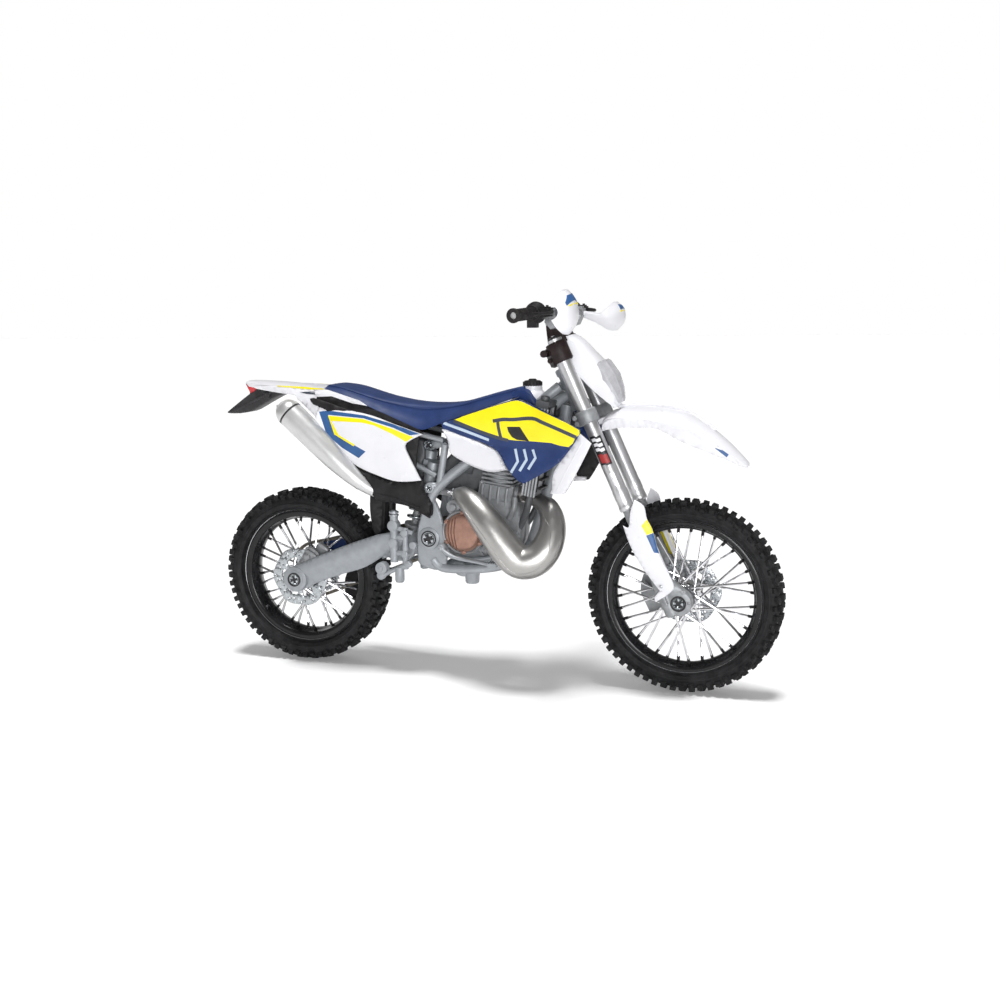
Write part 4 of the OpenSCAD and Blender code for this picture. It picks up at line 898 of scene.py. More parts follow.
shapes = [box((-5.4, -4.8, -1.9), (5.4, 4.8, 4.4), barrel)]
shapes += [box((-5.1 + 0.1 * k, -4.6, 4.5 + 1.25 * k), (5.1 - 0.1 * k, 4.6, 5.2 + 1.25 * k), barrel)
    for k in range(4)]
shapes += [turned(knob(4.2, 4, 10), barrel(0, 0, 0), barrel(0, 0, 1) - barrel(0, 0, 0), 32),
    box((-4.5, -4.3, 9.3), (4.5, 4.3, 11.2), barrel),
    box((-3.4, -3.2, 11), (3.4, 3.2, 11.9), barrel),
    tube([(0, 0, 11.6, 0.8), (0, 0, 12.6, 0.7), (-0.8, 0, 14.2, 0.75), (-2.6, 0, 15, 0.45)],
    sides=12, place=barrel), tube([(4.8, 0, 2.2, 2.75), (6.2, 0, 2.0, 2.6)], sides=28, steps=2,
    place=barrel)]
for u in (-4.9, 4.9):
    for y in (-4.2, 4.2):
        shapes.append(turned(knob(0.62, 0, 0.9, 0.15), barrel(u * 0.86, y * 0.9, 11.0),
            barrel(0, 0, 1) - barrel(0, 0, 0), 6))
        shapes.append(turned(knob(0.75, 0, 0.8, 0.15), barrel(u, y, 4.2),
            barrel(0, 0, 1) - barrel(0, 0, 0), 12))
for u in (-4.2, -1.6, 1.0, 3.6):
    shapes += [tube([(u, s * 4.75, -1.2, 0.5), (u, s * 4.85, 1.6, 0.55), (u, s * 4.7, 4.2, 0.5)],
        sides=10, steps=2, place=barrel) for s in (1, -1)]
make("cylinder_finned", shapes, "chassis", ENGINE, ["cylinder_block"], bevel=0.14)

shapes = [tube([(46.6, 0, 60.1, 2.4), (48.6, 0, 60, 2.4), (49, 0, 59.9, 1.9), (54, 0, 59.6, 1.9),
    (58.4, 0, 59.4, 1.9), (59, 0, 59.3, 2.15), (60.8, 0, 59.2, 2.15)], sides=28, steps=2),
    tube([(54.5, 0, 56.4, 1.5), (54.5, 0, 57.2, 2.05), (54.5, 0, 62.6, 2.1), (54.5, 0, 63.6, 1.4)],
    sides=24, steps=2), boss(54.5, 59.4, 1.3, -3.2, 3.2, 0.3, 20),
    boss(54.5, 59.4, 0.7, -3.9, 3.9, 0.1, 8), tube([(54.5, 0, 63.4, 0.6), (56, 0.8, 67.4, 0.55),
    (61, 1.4, 71.6, 0.5)], sides=10)]
shapes += [plate(curve([(47.4, 61.4), (50.4, 57.6), (58, 57.4), (62.4, 60.6), (63.6, 68),
    (64.6, 73.4), (59, 74.4), (53.6, 70.8), (49.4, 66.4)], 3, True), -3.4, 3.4, 0.8),
    plate([(53, 64), (59, 63.4), (60.4, 68), (55, 69.4)], -4.6, 4.6, 0.5),
    boss(56.6, 66.2, 1.4, -5.4, 5.4, 0.3, 20), plate([(38.6, 60), (41.6, 58.6), (43.2, 66),
    (43.4, 73), (40.4, 73.6)], -3.4, 3.4, 0.4)]
for s in (1, -1):
    shapes += [tube([(71.0, s * 2.4, 67.4, 1.1), (75, s * 3.6, 68.6, 1.1),
        (78.6, s * 5.4, 66.6, 1.1), (79.6, s * 6.4, 62, 1.1)], sides=14),
        tube([(78.4, s * 6.2, 60.4, 1.05), (77.4, s * 5.8, 55, 1.05), (75.4, s * 4.6, 50, 1.05),
        (73.4, s * 3.6, 47, 1.05)], sides=14)]
make("carburettor_throat", shapes, "chassis", DARK_GREY, ["carburettor"])

# ---------- exhaust ----------

chamber = [(73.6, 0, 57.3, 2), (76.4, -1.6, 57, 2), (80.4, -4.9, 56, 2.2), (84.3, -7.6, 54.6, 3.1),
    (86.4, -10.6, 49.8, 3.9), (85.4, -13.2, 44.2, 4.5), (82.2, -15.0, 40.5, 4.85),
    (77.6, -15.9, 40.0, 5.0), (73.2, -16.2, 44.2, 4.95), (68.4, -15.9, 50.4, 4.6),
    (63.8, -14.5, 55.2, 4.0), (59.6, -12.2, 57.8, 3.1), (56.8, -10.3, 58.4, 1.9),
    (55.4, -9.4, 58.4, 1.25)]
path = curve(chamber, 7)
seam = []
for i, p in enumerate(path):
    a, b = Vector(path[max(i - 1, 0)][:3]), Vector(path[min(i + 1, len(path) - 1)][:3])
    along = (b - a).normalized()
    out = Vector((0.0, -0.86, -0.5))
    out = (out - along * out.dot(along)).normalized()
    seam.append(tuple(Vector(p[:3]) + out * p[3]) + (0.11,))
shapes = [tube(chamber, sides=40, steps=7), tube(seam[8:-6], sides=8, steps=1),
          tube([(73.4, 0, 57.3, 2.5), (74.4, -0.3, 57.3, 2.5)], sides=30, steps=2)]
for at_share in (0.30, 0.47, 0.64):
    i = int(at_share * len(path))
    p, q = path[i], path[i + 1]
    d = (Vector(q[:3]) - Vector(p[:3])).normalized() * 0.08
    shapes.append(tube([tuple(Vector(p[:3]) - d) + (p[3] + 0.035,),
        tuple(Vector(p[:3]) + d) + (p[3] + 0.035,)], sides=40, steps=1))
make("expansion_pipe", shapes, "chassis", PIPE, ["expansion_chamber"], sharp=50)

core = [(55.6, -9.6, 58.4, 1.0), (53, -6.6, 57.8, 1.1), (50, -5, 58, 1.1), (46, -4.8, 58, 1.1),
    (42, -5.8, 57.8, 1.1), (37, -7, 56.9, 1.1), (33, -8, 56.3, 1.3), (31, -8.5, 56.8, 1.5)]
body_path = [(32, -8.2, 56.4, 1.4), (29.5, -9.2, 57.6, 1.7), (26.5, -10.4, 59.6, 2.1),
    (23.2, -11.6, 62.4, 2.6), (17.5, -11.9, 67.5, 3.4), (11.6, -11.7, 73, 3.9),
    (6, -11.6, 78.1, 4.1), (2.4, -11.5, 81.3, 4.1), (1.6, -11.5, 82, 3.95)]
cap = [(2.0, -11.5, 81.6, 4.15), (1.2, -11.5, 82.4, 4.1), (-0.1, -11.4, 83.5, 3.3),
    (-0.9, -11.4, 84.2, 2.3), (-1.0, -11.4, 84.3, 1.5)]
shapes = [(tube(core, sides=16), 0), (tube(body_path, sides=36), 0), (tube(cap, sides=36, steps=2), 0),
          (tube([(2.3, -11.5, 81.4, 4.18), (1.9, -11.5, 81.75, 4.18)], sides=36, steps=1), 1),
          (tube([(-0.7, -11.4, 84.05, 1.45), (-1.15, -11.4, 84.45, 1.45)], sides=20, steps=1), 1),
          (tube([(25.4, -10.8, 60.5, 2.4), (24.9, -11.0, 60.9, 2.45)], sides=28, steps=1), 0)]
for k, (x, y, z) in enumerate(((55.9, -8.0, 58.6), (56.1, -10.6, 59.0))):
    shapes.append((tube([(x + 1.7, y - 0.4, z + 0.6, 0.42), (x - 2.4, y + 1.2, z - 0.3, 0.42)],
        sides=10, steps=1), 2))
    shapes.append((tube([(x - 2.2, y + 1.1, z - 0.3, 0.62), (x - 2.7, y + 1.3, z - 0.4, 0.62)],
        sides=12, steps=1), 2))
shapes.append((tube([(56.4, -10.1, 58.3, 1.75), (55.5, -9.5, 58.3, 1.75)], sides=24, steps=1), 2))
make("silencer", shapes, "chassis", [SILENCER, BLACK_PRINT_AND_SHADE, CHROME], ["muffler"], sharp=45)

# ---------- bodywork ----------

SHROUD_SWING = math.tan(math.radians(5.5))
shroud_outline = curve([(52.9, 79.7), (56.9, 80.9), (66, 84), (75.4, 86.9), (80.3, 86.3), (88, 83),
    (96.8, 79.2), (95.6, 76.6), (92, 71.8), (88.2, 68.1), (79.2, 62.9), (76.8, 63.9), (73.7, 67.4),
    (71, 71.8), (66.4, 74.2), (60, 76.1), (53.4, 78.2)], 4, True, (0, 6, 10, 16))


def shroud_swell(s, t):
    """The shroud swings outward towards the fork, and its lower half steps in below the crease."""
    crease = 75.4 + 0.02 * (s - 75)
    step_in = 0.55 * max(0, min(1, (crease - t) / 0.7))
    lean = 0.9 * max(0, (t - 80) / 6) ** 1.5
    hollow = 0.5 * max(0, 1 - abs(t - 70) / 6) * max(0, 1 - abs(s - 84) / 8)
    return SHROUD_SWING * (s - 56) - step_in - lean - hollow + (0.25 if t < crease else 0) * max(0,
        min(1, (73 - t) / 3))


yellow = [(57.2, 80.8), (66, 83.9), (75.4, 86.7), (78.2, 86.7), (80.3, 86.0), (88, 82.8),
    (96.4, 79.1), (95.2, 76.8), (93, 74.1), (87.8, 75.1), (82.2, 75.4), (76.5, 75.5), (73.4, 75.9),
    (71.4, 76.6), (66, 77.9), (61.2, 79.3)]
duct = [(74.3, 79.4), (78.3, 79.5), (81.1, 75.4), (77.3, 75.7), (75.7, 76.5), (74.6, 78.1)]
stripes = [band(curve([(69.8, 80.9), (73, 81.45), (76.1, 81.5), (82, 82), (85.3, 80.9), (90.4, 79),
    (95.5, 77.0)], 4), 1.05), band(curve([(71.35, 81.2), (71.6, 78.9), (72.3, 76.1)], 4), 1.0),
    band(curve([(57.1, 80.6), (61.2, 79.2), (66, 77.6), (71.4, 76.1), (74.6, 75.4)], 4), 1.0)]
pale = band([(53.8, 79.9), (60.4, 77.9), (68.4, 75.3)], 0.85)
chevrons = [band([(75.2 + k * 2.7, 66.0 + k * 0.6), (77.4 + k * 2.7, 69.4 + k * 0.6),
    (76.6 + k * 2.7, 73.0)], 0.8) for k in range(3)]
zones = [(curve(yellow, 2, True, (9, 5, 14)), 1),
    (duct, 2)] + [(line, 3) for line in stripes] + [(pale, 4)] + [(line, 4) for line in chevrons]
shapes = [slab(shroud_outline, side_place(13.4, s, shroud_swell), 1.0, 0.45, 0.2, step=1.3,
    zones=zones) for s in (1, -1)]
make("shroud_shells", shapes, "chassis", [NAVY, YELLOW, BLACK_PRINT_AND_SHADE, SLATE, PALE],
    ["shrouds"], sharp=30)

tank_outline = curve([(52.4, 77.7), (60.3, 75.4), (66.5, 73.1), (69, 71.9), (70.8, 69.8),
    (72.8, 66.2), (67.9, 65.2), (63.2, 66.3), (58.6, 68.4), (54.9, 70.8), (54.2, 74.3)], 4, True,
    (0, 5))
upper_lobe = curve([(53.4, 77.4), (56, 79.4), (62, 81.4), (70, 84.4), (76, 85.4), (78.4, 82),
    (78, 76), (74, 69), (71, 70), (68, 73), (60, 75.6)], 3, True)
shapes = []
for s in (1, -1):
    shapes.append(slab(tank_outline, side_place(11.7, s, lambda a,
        b: -0.9 * max(0, (69 - b) / 5) ** 1.6), 2.1, 0.7, 0.3, step=2.2))
    shapes.append(slab(upper_lobe, side_place(11.3, s), 1.7, 0.5, 0.3, step=3))
shapes += [plate([(54, 73), (62, 76.4), (70, 82), (76.4, 86), (79.2, 87), (79.2, 87.8), (75, 88),
    (66, 84.6), (57, 80.8), (53.4, 78.8)], -3.2, 3.2, 0.3),
    plate([(56, 78.4), (62, 80), (75, 87.2), (64, 83.4)], -11.2, 11.2, 0.2),
    turned([(0, 86.2), (4.4, 86.2), (4.2, 87.4), (3.5, 88.3), (2.95, 88.8), (2.9, 90.2), (0, 90.2)],
    TANK_CAP, (0, 0, 1), 36)]
make("tank_halves", shapes, "chassis", WHITE, ["fuel_tank"])

crown = []
for k in range(48):
    r, t = 2.8 + (0.14 if k % 2 else 0), 2 * math.pi * k / 48
    crown.append(TANK_CAP + Vector((r * math.cos(t), r * math.sin(t), 0)) * MM)
cap_low, cap_high = [p + Vector((0, 0, 90.1 * MM)) for p in crown], [p + Vector((0, 0, 91.3 * MM))
    for p in crown]
shapes = [loft([cap_low, cap_high]), turned([(0, 91.2), (2.6, 91.2), (2.4, 91.6), (1.9, 91.7),
    (1.2, 91.75), (1.15, 92.1), (0.7, 92.2), (0, 92.2)], TANK_CAP, (0, 0, 1), 36)]
make("tank_cap_ribbed", shapes, "chassis", BLACK, ["tank_cap"])

# Seat: rings across the bike, its skirt spread over the side panels and its nose running up the tank.
# Each ring is x, top height, shoulder half-width, skirt half-width, skirt height.
seat_rings = curve([(11.4, 89.7, 4.4, 6.2, 89.2), (13, 90.3, 5.6, 7.4, 88.9),
    (18.7, 89.7, 6.8, 8.9, 87.3), (25.4, 87.9, 7.0, 9.2, 84.9), (31, 86.5, 6.8, 9.3, 82.6),
    (37.6, 85.4, 6.5, 9.4, 79.9), (44, 84.9, 6.1, 9.3, 77.3), (47.7, 84.8, 5.9, 9.2, 77.8),
    (52, 84.9, 5.7, 9.0, 79.5), (57, 85.5, 5.5, 8.6, 81.2), (62.3, 86.9, 5.1, 7.7, 83.0),
    (68, 88.5, 4.7, 6.7, 85.0), (73, 89.7, 4.3, 5.7, 86.8), (76, 90.3, 3.9, 4.8, 88.9)], 4)
rings = []
for x, top, a, b, low in seat_rings:
    h = top - low
    half = [(0, top), (a * 0.45, top - 0.02 * h), (a * 0.8, top - 0.06 * h),
        (a * 0.97, top - 0.14 * h), (a + 0.03, top - 0.24 * h),
        (a + (b - a) * 0.18, top - 0.45 * h), (a + (b - a) * 0.5, top - 0.72 * h),
        (b - 0.15, low + 0.08 * h), (b, low + 0.02 * h), (b - 0.3, low), (b - 0.9, low + 0.1 * h),
        (a * 0.7, top - 0.45 * h)]
    ring = [at(x, y, z) for y, z in half] + [at(x, -y, z) for y, z in reversed(half[1:])]
    rings.append(ring)
panel_line = [(x, a + 0.06, top - 0.2 * (top - low)) for x, top, a, b, low in seat_rings[3:-3]]
shapes = [(loft(rings), 0)]
for s in (1, -1):
    shapes.append((tube([(x, s * y, z, 0.13) for x, y, z in panel_line], sides=6, steps=1), 0))
make("seat_pad_moulded", shapes, "chassis", SEAT, ["seat"], sharp=50)
cover = curve([(72.6, 89.0, 3.9, 5.2, 86.0), (75.4, 89.6, 3.6, 5.4, 86.4),
    (77.6, 88.9, 3.3, 5.6, 85.8), (79.4, 87.0, 3.1, 5.6, 84.7), (80.6, 85.1, 3.0, 5.4, 84.0)], 4)
rings = []
for x, top, a, b, low in cover:
    half = [(2.75, top), (max(a, 2.8), top - 0.1), (b - 0.2, top - 0.5), (b, top - 1), (b, low),
        (2.75, low)]
    rings.append([at(x, y, z) for y, z in half])
make("tank_top_cover", both(loft(rings)) + [plate([(72.2, 88.7), (74.6, 89.5), (74.7, 88.6),
    (72.6, 87.6)], -3.8, 3.8, 0.2)], "chassis", NAVY, [], sharp=45)

# Airbox and side panels.
skin_outline = curve([(9.0, 84.4), (13, 82.8), (18, 76), (24.4, 68.2), (28, 64.6), (31.5, 60.2),
    (36, 56), (41.4, 53.7), (47.2, 50.4), (48, 55.1), (45.6, 58.8), (45.2, 61.8), (43.0, 66),
    (44.4, 76.4), (42.6, 77.4), (36, 78.8), (22, 82.6), (9, 86.4)], 3, True)
lower_box = curve([(24.6, 64.8), (31.5, 62.3), (35.6, 61.4), (45.2, 61.9), (45.8, 58.8),
    (48.0, 55.1), (47.3, 50.4), (41.4, 53.4), (37.9, 54.3), (34.4, 54.7), (30.2, 55.2),
    (28.4, 57.4), (26.4, 60.6)], 3, True, (0, 6, 10))
wedge = curve([(10.1, 86.9), (15.3, 87.1), (22.5, 85.1), (26.1, 84.6), (44.1, 77.4), (44.5, 76),
    (37.1, 78.6), (29.1, 81.3), (21.9, 82.3), (11, 83.3), (9.6, 85.7)], 2, True)
shapes = [plate([(14, 80), (16, 67.4), (25, 61), (31, 59.6), (33.6, 63), (33.6, 77), (24, 79.6)],
    -5.4, 5.4, 0.6)]
for s in (1, -1):
    shapes.append(slab(skin_outline, side_place(9.6, s), 0.9, 0.3, 0.2))
    shapes.append(slab(lower_box, side_place(10.9, s, lambda a,
        b: 0.55 * max(0, min(1, (34 - a) / 8))), 1.5, 0.7, 0.3, step=1.6))
    shapes.append(slab(wedge, side_place(10.0, s, lambda a, b: -3.2 * (max(0, b - 80) / 10) ** 1.3),
        0.8, 0.2, 0.2, step=2))
    shapes.append(slab(band([(29.6, 57.6), (36, 56.4), (44.4, 53.6)], 0.35), side_place(11.25, s),
        0.5, 0.12, step=2))
    shapes.append(slab([(26, 60.4), (31, 58.6), (33, 61), (30, 64)], side_place(9.6, s), 4.4, 0.1))
shapes += [tube([(33.6, 0, 66, 2.6), (38, 0, 63.6, 2.5), (43, 0, 61.2, 2.3), (47, 0, 60.1, 2.2)],
    sides=28)]
make("airbox_moulded", shapes, "chassis", BLACK, ["airbox"], sharp=32)

panel_outline = curve([(10.9, 84.4), (15.8, 83.2), (21.5, 82.7), (29.1, 81.3), (37.1, 78.8),
    (46.0, 76.0), (42.5, 74.4), (40.2, 72.4), (42, 68), (45.1, 62), (40.5, 61.5), (36, 61.6),
    (30.5, 63.2), (24.9, 65.3), (20.6, 68), (16.3, 71.2), (13.4, 73.4), (11.2, 75.6), (10.2, 78),
    (9.9, 81.4)], 3, True, (0, 5, 9))
shape_y = lambda s, t: -3.6 * (max(0, t - 78) / 10) ** 1.3 - 0.35 * max(0, (t - 66) / 12) * max(0,
    (30 - s) / 18)
blue_print = [(11.0, 82.2), (14.2, 82.6), (26.6, 81.4), (36.7, 78.9), (45.2, 76.2), (42.1, 75.7),
    (36.6, 77.9), (26.6, 80.5), (14.4, 81.3), (16.6, 75.7), (27.2, 70.4), (24.8, 68.3),
    (19.2, 71.4), (14.0, 75.4)]
yellow_print = [(14.3, 81.1), (26.6, 80.3), (36.6, 77.5), (43.2, 75.2), (40.7, 73.7), (36.2, 76.0),
    (30.1, 78.5), (26, 79.2), (15.6, 79.5), (18.2, 75.3), (23.6, 72.4), (23.2, 71.9), (16.7, 75.4)]
shapes = []
for s in (1, -1):
    place = side_place(11.2, s, shape_y)
    shapes.append(slab(panel_outline, place, 1.0, 0.4, 0.2, step=1.5,
        zones=[(blue_print, 1), (yellow_print, 2)]))
    shapes.append((boss(40.2, 63.9, 0.42, s * 10.9, s * 11.5, 0.1, 14), 0))
make("side_panel_shells", shapes, "chassis", [WHITE, BLUE, YELLOW],
    ["side_panels"], sharp=30)


def arch(sections, steps=5, cells=14, place=at, lip=0.25):
    """A curved shell over the middle: each section is x, height, half-width, crown, thickness."""
    rings = []
    for x, z, half, crown, thick in curve(sections, steps):
        top = [(half * t, z - crown * abs(t) ** 2.2) for t in [2 * k / cells - 1
            for k in range(cells + 1)]]
        under = [(y * 0.94, h - thick * (1.0 if abs(y) < half * 0.97 else 1 + lip)) for y,
            h in reversed(top)]
        rings.append([place(x, y, h) for y, h in top + under])
    return loft(rings)


tail = arch([(-18.6, 90.9, 2.6, 0.4, 0.8), (-17, 91.1, 3.6, 0.6, 1.0), (-12, 91.0, 5.0, 0.9, 1.1),
    (-4, 90.6, 6.3, 1.2, 1.2), (4, 89.8, 7.2, 1.5, 1.3), (11, 89.0, 7.8, 1.6, 1.2),
    (16, 86.6, 7.6, 1.6, 1.0)])
flank = curve([(-13.5, 89.4), (-4, 89.9), (4, 89.6), (11, 89.1), (16, 88.0), (16, 86.6),
    (10.2, 86.9), (10.4, 84), (10.2, 80.2), (9.2, 80.6), (5.8, 83.5), (2.7, 85.9), (1.7, 87.0),
    (-2.3, 87.4), (-12.6, 88.7)], 3, True, (0, 4, 5, 6, 8, 9, 11))
yellow_tail = [(-4.9, 89.9), (4.4, 89.6), (11.4, 89.1), (11.8, 88.6), (6.4, 88.9), (-4.9, 89.7)]
shapes = [(tail, 0)]
for s in (1, -1):
    def tail_side(a, b, h, s=s):
        across = 11.0 + h - 3.6 * (max(0, b - 78) / 10) ** 1.3
        narrow = 6.3 + 0.13 * (a + 4) + h
        return at(a, s * min(across, narrow + 0.9), b)
    shapes.append((slab(flank, tail_side, 0.8, 0.25, 0.15, step=2), 0))
    shapes.append((slab(yellow_tail, lambda a, b, h, s=s: tail_side(a, b, h + 0.1, s), 0.5, 0.0,
        step=2), 1))
    shapes.append((slab([(9.2, 89.0), (14, 88.9), (24.6, 85.8), (27.4, 84.2), (22.5, 84.9),
        (15.3, 87.0), (10.1, 86.7)], side_place(9.5, s, lambda a, b: -0.1 * max(0, b - 86)), 0.6,
        0.2, step=2), 0))
    shapes.append((slab([(3.4, 88.0), (7.2, 88.2), (12, 88.1), (13.6, 87.2), (10.4, 87.2),
        (6, 87.5)], lambda a, b, h, s=s: tail_side(a, b, h + 0.1, s), 0.5, 0.0, step=2), 2))
make("tail_fairing", shapes, "chassis", [WHITE, YELLOW, SLATE], ["rear_fender"],
    sharp=32)

shapes = [plate([(-18.2, 90.0), (-12.6, 89.7), (-14.4, 88.0), (-16.7, 87.0)], -3.6, 3.6, 0.5)]
shapes += [plate([(-17.9, 89.5), (-17.7, 89.6), (-16.6, 87.3), (-16.9, 87.35)], y, y + 0.14, 0.02)
    for y in (-1.8, -0.9, 0, 0.9, 1.8)]
make("tail_light_red", shapes, "chassis", TAIL, ["tail_light"])
holder = curve([(-16.4, 87.2), (-20.6, 84.4), (-25.4, 81.0), (-24.8, 80.5), (-18.2, 80.9),
    (-12.6, 83.6), (-7.3, 86.2), (-4.6, 87.1), (-6, 88.6), (-12.8, 89.1)], 3, True, (2,))
shapes = [plate(holder, -3.4, 3.4, 0.3)]
shapes += [plate(band([(-23.4, 81.2), (-8.6, 87.8)], 1.0), s * 3.3, s * 3.75, 0.15) for s in (1, -1)]
shapes += [plate(ring_of(1.2, 24, -10.4, 86.4), s * 3.2, s * 4.2, 0.2) for s in (1, -1)]
shapes += [plate([(-17.2, 87.0), (-12.4, 89.2), (-12.0, 88.6), (-16.8, 86.4)], -3.0, 3.0, 0.2)]
make("plate_flap", shapes, "chassis", FLAP, ["plate_holder"])
guard = curve([(26.2, 43.2), (28.4, 43.4), (29.4, 52), (29.8, 59.0), (28.4, 60.2), (26, 60.2),
    (25.2, 56), (25.0, 50)], 3, True)
shapes = [plate(guard, -5.2, 5.2, 0.5)] + [plate([(28.7, 45), (29.5, 45), (30.1, 58), (29.3, 58)],
    y - 0.25, y + 0.25, 0.15) for y in (-4.2, 0, 4.2)]
make("mudguard_inner", shapes, "chassis", BLACK, ["inner_mudguard"])

# Radiators behind the shrouds, with their white louvred guards and black tanks.
def cooler(base_x, y0, base_z):
    c, s = math.cos(RADIATOR_LEAN), math.sin(RADIATOR_LEAN)
    return lambda u, y, w: at(base_x + u * c + w * s, y0 + y, base_z - u * s + w * c)


core_at, louvre_at = cooler(79.4, 4.2, 59), cooler(81.5, 4.6, 59)
shapes = [(box((-2, 0.2, 1.6), (1.3, 7.7, 26.4), core_at), 0),
    (box((-2, 0, -0.1), (1.8, 7.9, 1.8), core_at), 1),
    (box((-2, 0, 26), (1.9, 7.9, 28), core_at), 1),
    (turned(knob(1.3, 27.8, 29.1, 0.2), core_at(-0.6, 3.9, 0), core_at(0, 0, 1) - core_at(0, 0, 0),
    24), 1)]
for k in range(5):
    shapes.append((tube([(-1.8 + 0.9 * k, 8.0, -0.2, 0.36), (-1.8 + 0.9 * k, 8.05, 8, 0.36),
        (-1.8 + 0.9 * k, 8.0, 26, 0.36)], sides=10, steps=1, place=core_at), 5))
    shapes.append((tube([(1.45, 0.8 + 1.5 * k, 0.2, 0.36), (1.45, 0.8 + 1.5 * k, 26, 0.36)],
        sides=10, steps=1, place=core_at), 5))
for k in range(9):
    w = 2.4 + 2.6 * k
    shapes.append((box((0.2, 0.1, w - 0.5), (1.35, 7.1, w - 0.05), louvre_at), 3))
for y in (0, 6.8):
    shapes.append((box((-1, y, 1), (0.35, y + 0.5, 26.2), louvre_at), 3))
shapes = shapes + [(flipped(s), kind) for s, kind in shapes]
guard = curve([(95.9, 77.8), (99.3, 75.1), (95.6, 68.0), (91.7, 61.3), (90.4, 60.2), (87.2, 59.9),
    (87.2, 61.1), (87.8, 66.4), (91.5, 71.5)], 3, True, (0, 1, 5))
cheek = [(81.2, 84.4), (84.0, 86.4), (85.8, 86.2), (87.0, 82.4), (87.8, 78), (86, 72), (82, 76)]
for s in (1, -1):
    lean_out = lambda a, b: 0.10 * (a - 90)
    shapes.append((slab(guard, side_place(14.2, s, lean_out), 0.6, 0.25, 0.15, step=2), 4))
    shapes.append((slab(guard, side_place(13.58, s, lean_out), 0.5, 0.1, 0.1, step=3), 3))
    shapes.append((slab(band([(88.6, 61.0), (92.2, 68.0), (96.6, 75.6)], 0.35),
        side_place(14.32, s, lean_out), 0.3, 0.1, step=2), 4))
    shapes.append((slab(cheek, side_place(12.6, s, lambda a, b: -0.16 * max(0, b - 78)), 0.7, 0.3,
        step=2), 1))
    shapes.append((plate([(86.6, 60.0), (90.4, 60.2), (90.4, 61.2), (87.2, 61.4)], s * 11.2,
        s * 13.6, 0.1), 4))
make("radiator_cores", shapes, "chassis",
    [CORE, DARK_GREY, BLACK_PRINT_AND_SHADE, BLACK, WHITE, CAST], ["radiators"], sharp=35)

# ---------- levers and stand ----------

shapes = [boss(51.6, 41.6, 1.3, -8.9, -12.7, 0.3, 24), boss(51.6, 41.6, 0.6, -12.6, -13.1, 0.1, 6),
    tube([(51.6, -12, 41.6, 0.95), (54, -12.5, 40.2, 0.85), (57, -12.9, 39.2, 0.8),
    (63, -13.1, 38.5, 0.8), (67.4, -13.2, 37.9, 0.8), (68.6, -13.2, 37.8, 0.8)], sides=14,
    flat=0.75), box((67.2, -14.7, 37.2), (70.0, -11.9, 38.4))]
shapes += [box((67.3 + 0.7 * k, -14.7, 38.3), (67.6 + 0.7 * k, -11.9, 38.75)) for k in range(4)]
make("brake_pedal_forged", shapes, "chassis", FRAME, ["brake_pedal"], bevel=0.08)
shapes = [boss(58.4, 40.6, 1, 5.2, 11.7, 0.2, 24),
    tube([(58.4, 11, 40.6, 0.8), (62, 11.9, 40.1, 0.75), (66, 12, 40.2, 0.72),
    (69.6, 11.8, 40.4, 0.72)], sides=14), rod(at(69.6, 11, 40.4), at(69.6, 14.3, 40.4), 0.95, 16)]
shapes += [turned(knob(1.12, 11.6 + 0.7 * k, 11.95 + 0.7 * k, 0.08), at(69.6, 0, 40.4), (0, 1, 0),
    16) for k in range(4)]
make("gear_lever_forged", shapes, "chassis", FRAME, ["gear_lever"], bevel=0.06)
shapes = [boss(51.6, 36, 1.7, 10.3, 12.1, 0.25, 28),
    tube([(50.4, 11.2, 36, 0.95), (42, 11.8, 36.2, 0.85), (34, 12.4, 36.4, 0.85),
    (25, 13.4, 36.3, 0.85), (17, 14.4, 36.2, 0.8)], sides=16),
    tube([(17.6, 14.4, 36.2, 0.8), (16.4, 14.4, 36.2, 1.5), (15.6, 14.4, 36.2, 1.6),
    (15.2, 14.4, 36.2, 1.2)], sides=18, steps=1, flat=0.8),
    tube([(49, 12, 36.9, 0.2), (44, 12.3, 37.3, 0.28), (38, 12.6, 37.4, 0.28),
    (36, 12.7, 37.2, 0.2)], sides=8)]
make("side_stand_leg", shapes, "side_stand", FRAME, ["side_stand"])

# ---------- steering ----------


def fork_side(y, sign, bend=None):
    """Places an outline of u and w on the side of the fork."""
    return lambda s, t, h: fork(s, sign * (y + h + (bend(s, t) if bend else 0)), t)


up_fork = fork(0, 0, 1) - fork(0, 0, 0)


def fork_turned(profile, u, y, sides=32):
    return turned(profile, fork(u, y, 0), up_fork, sides)


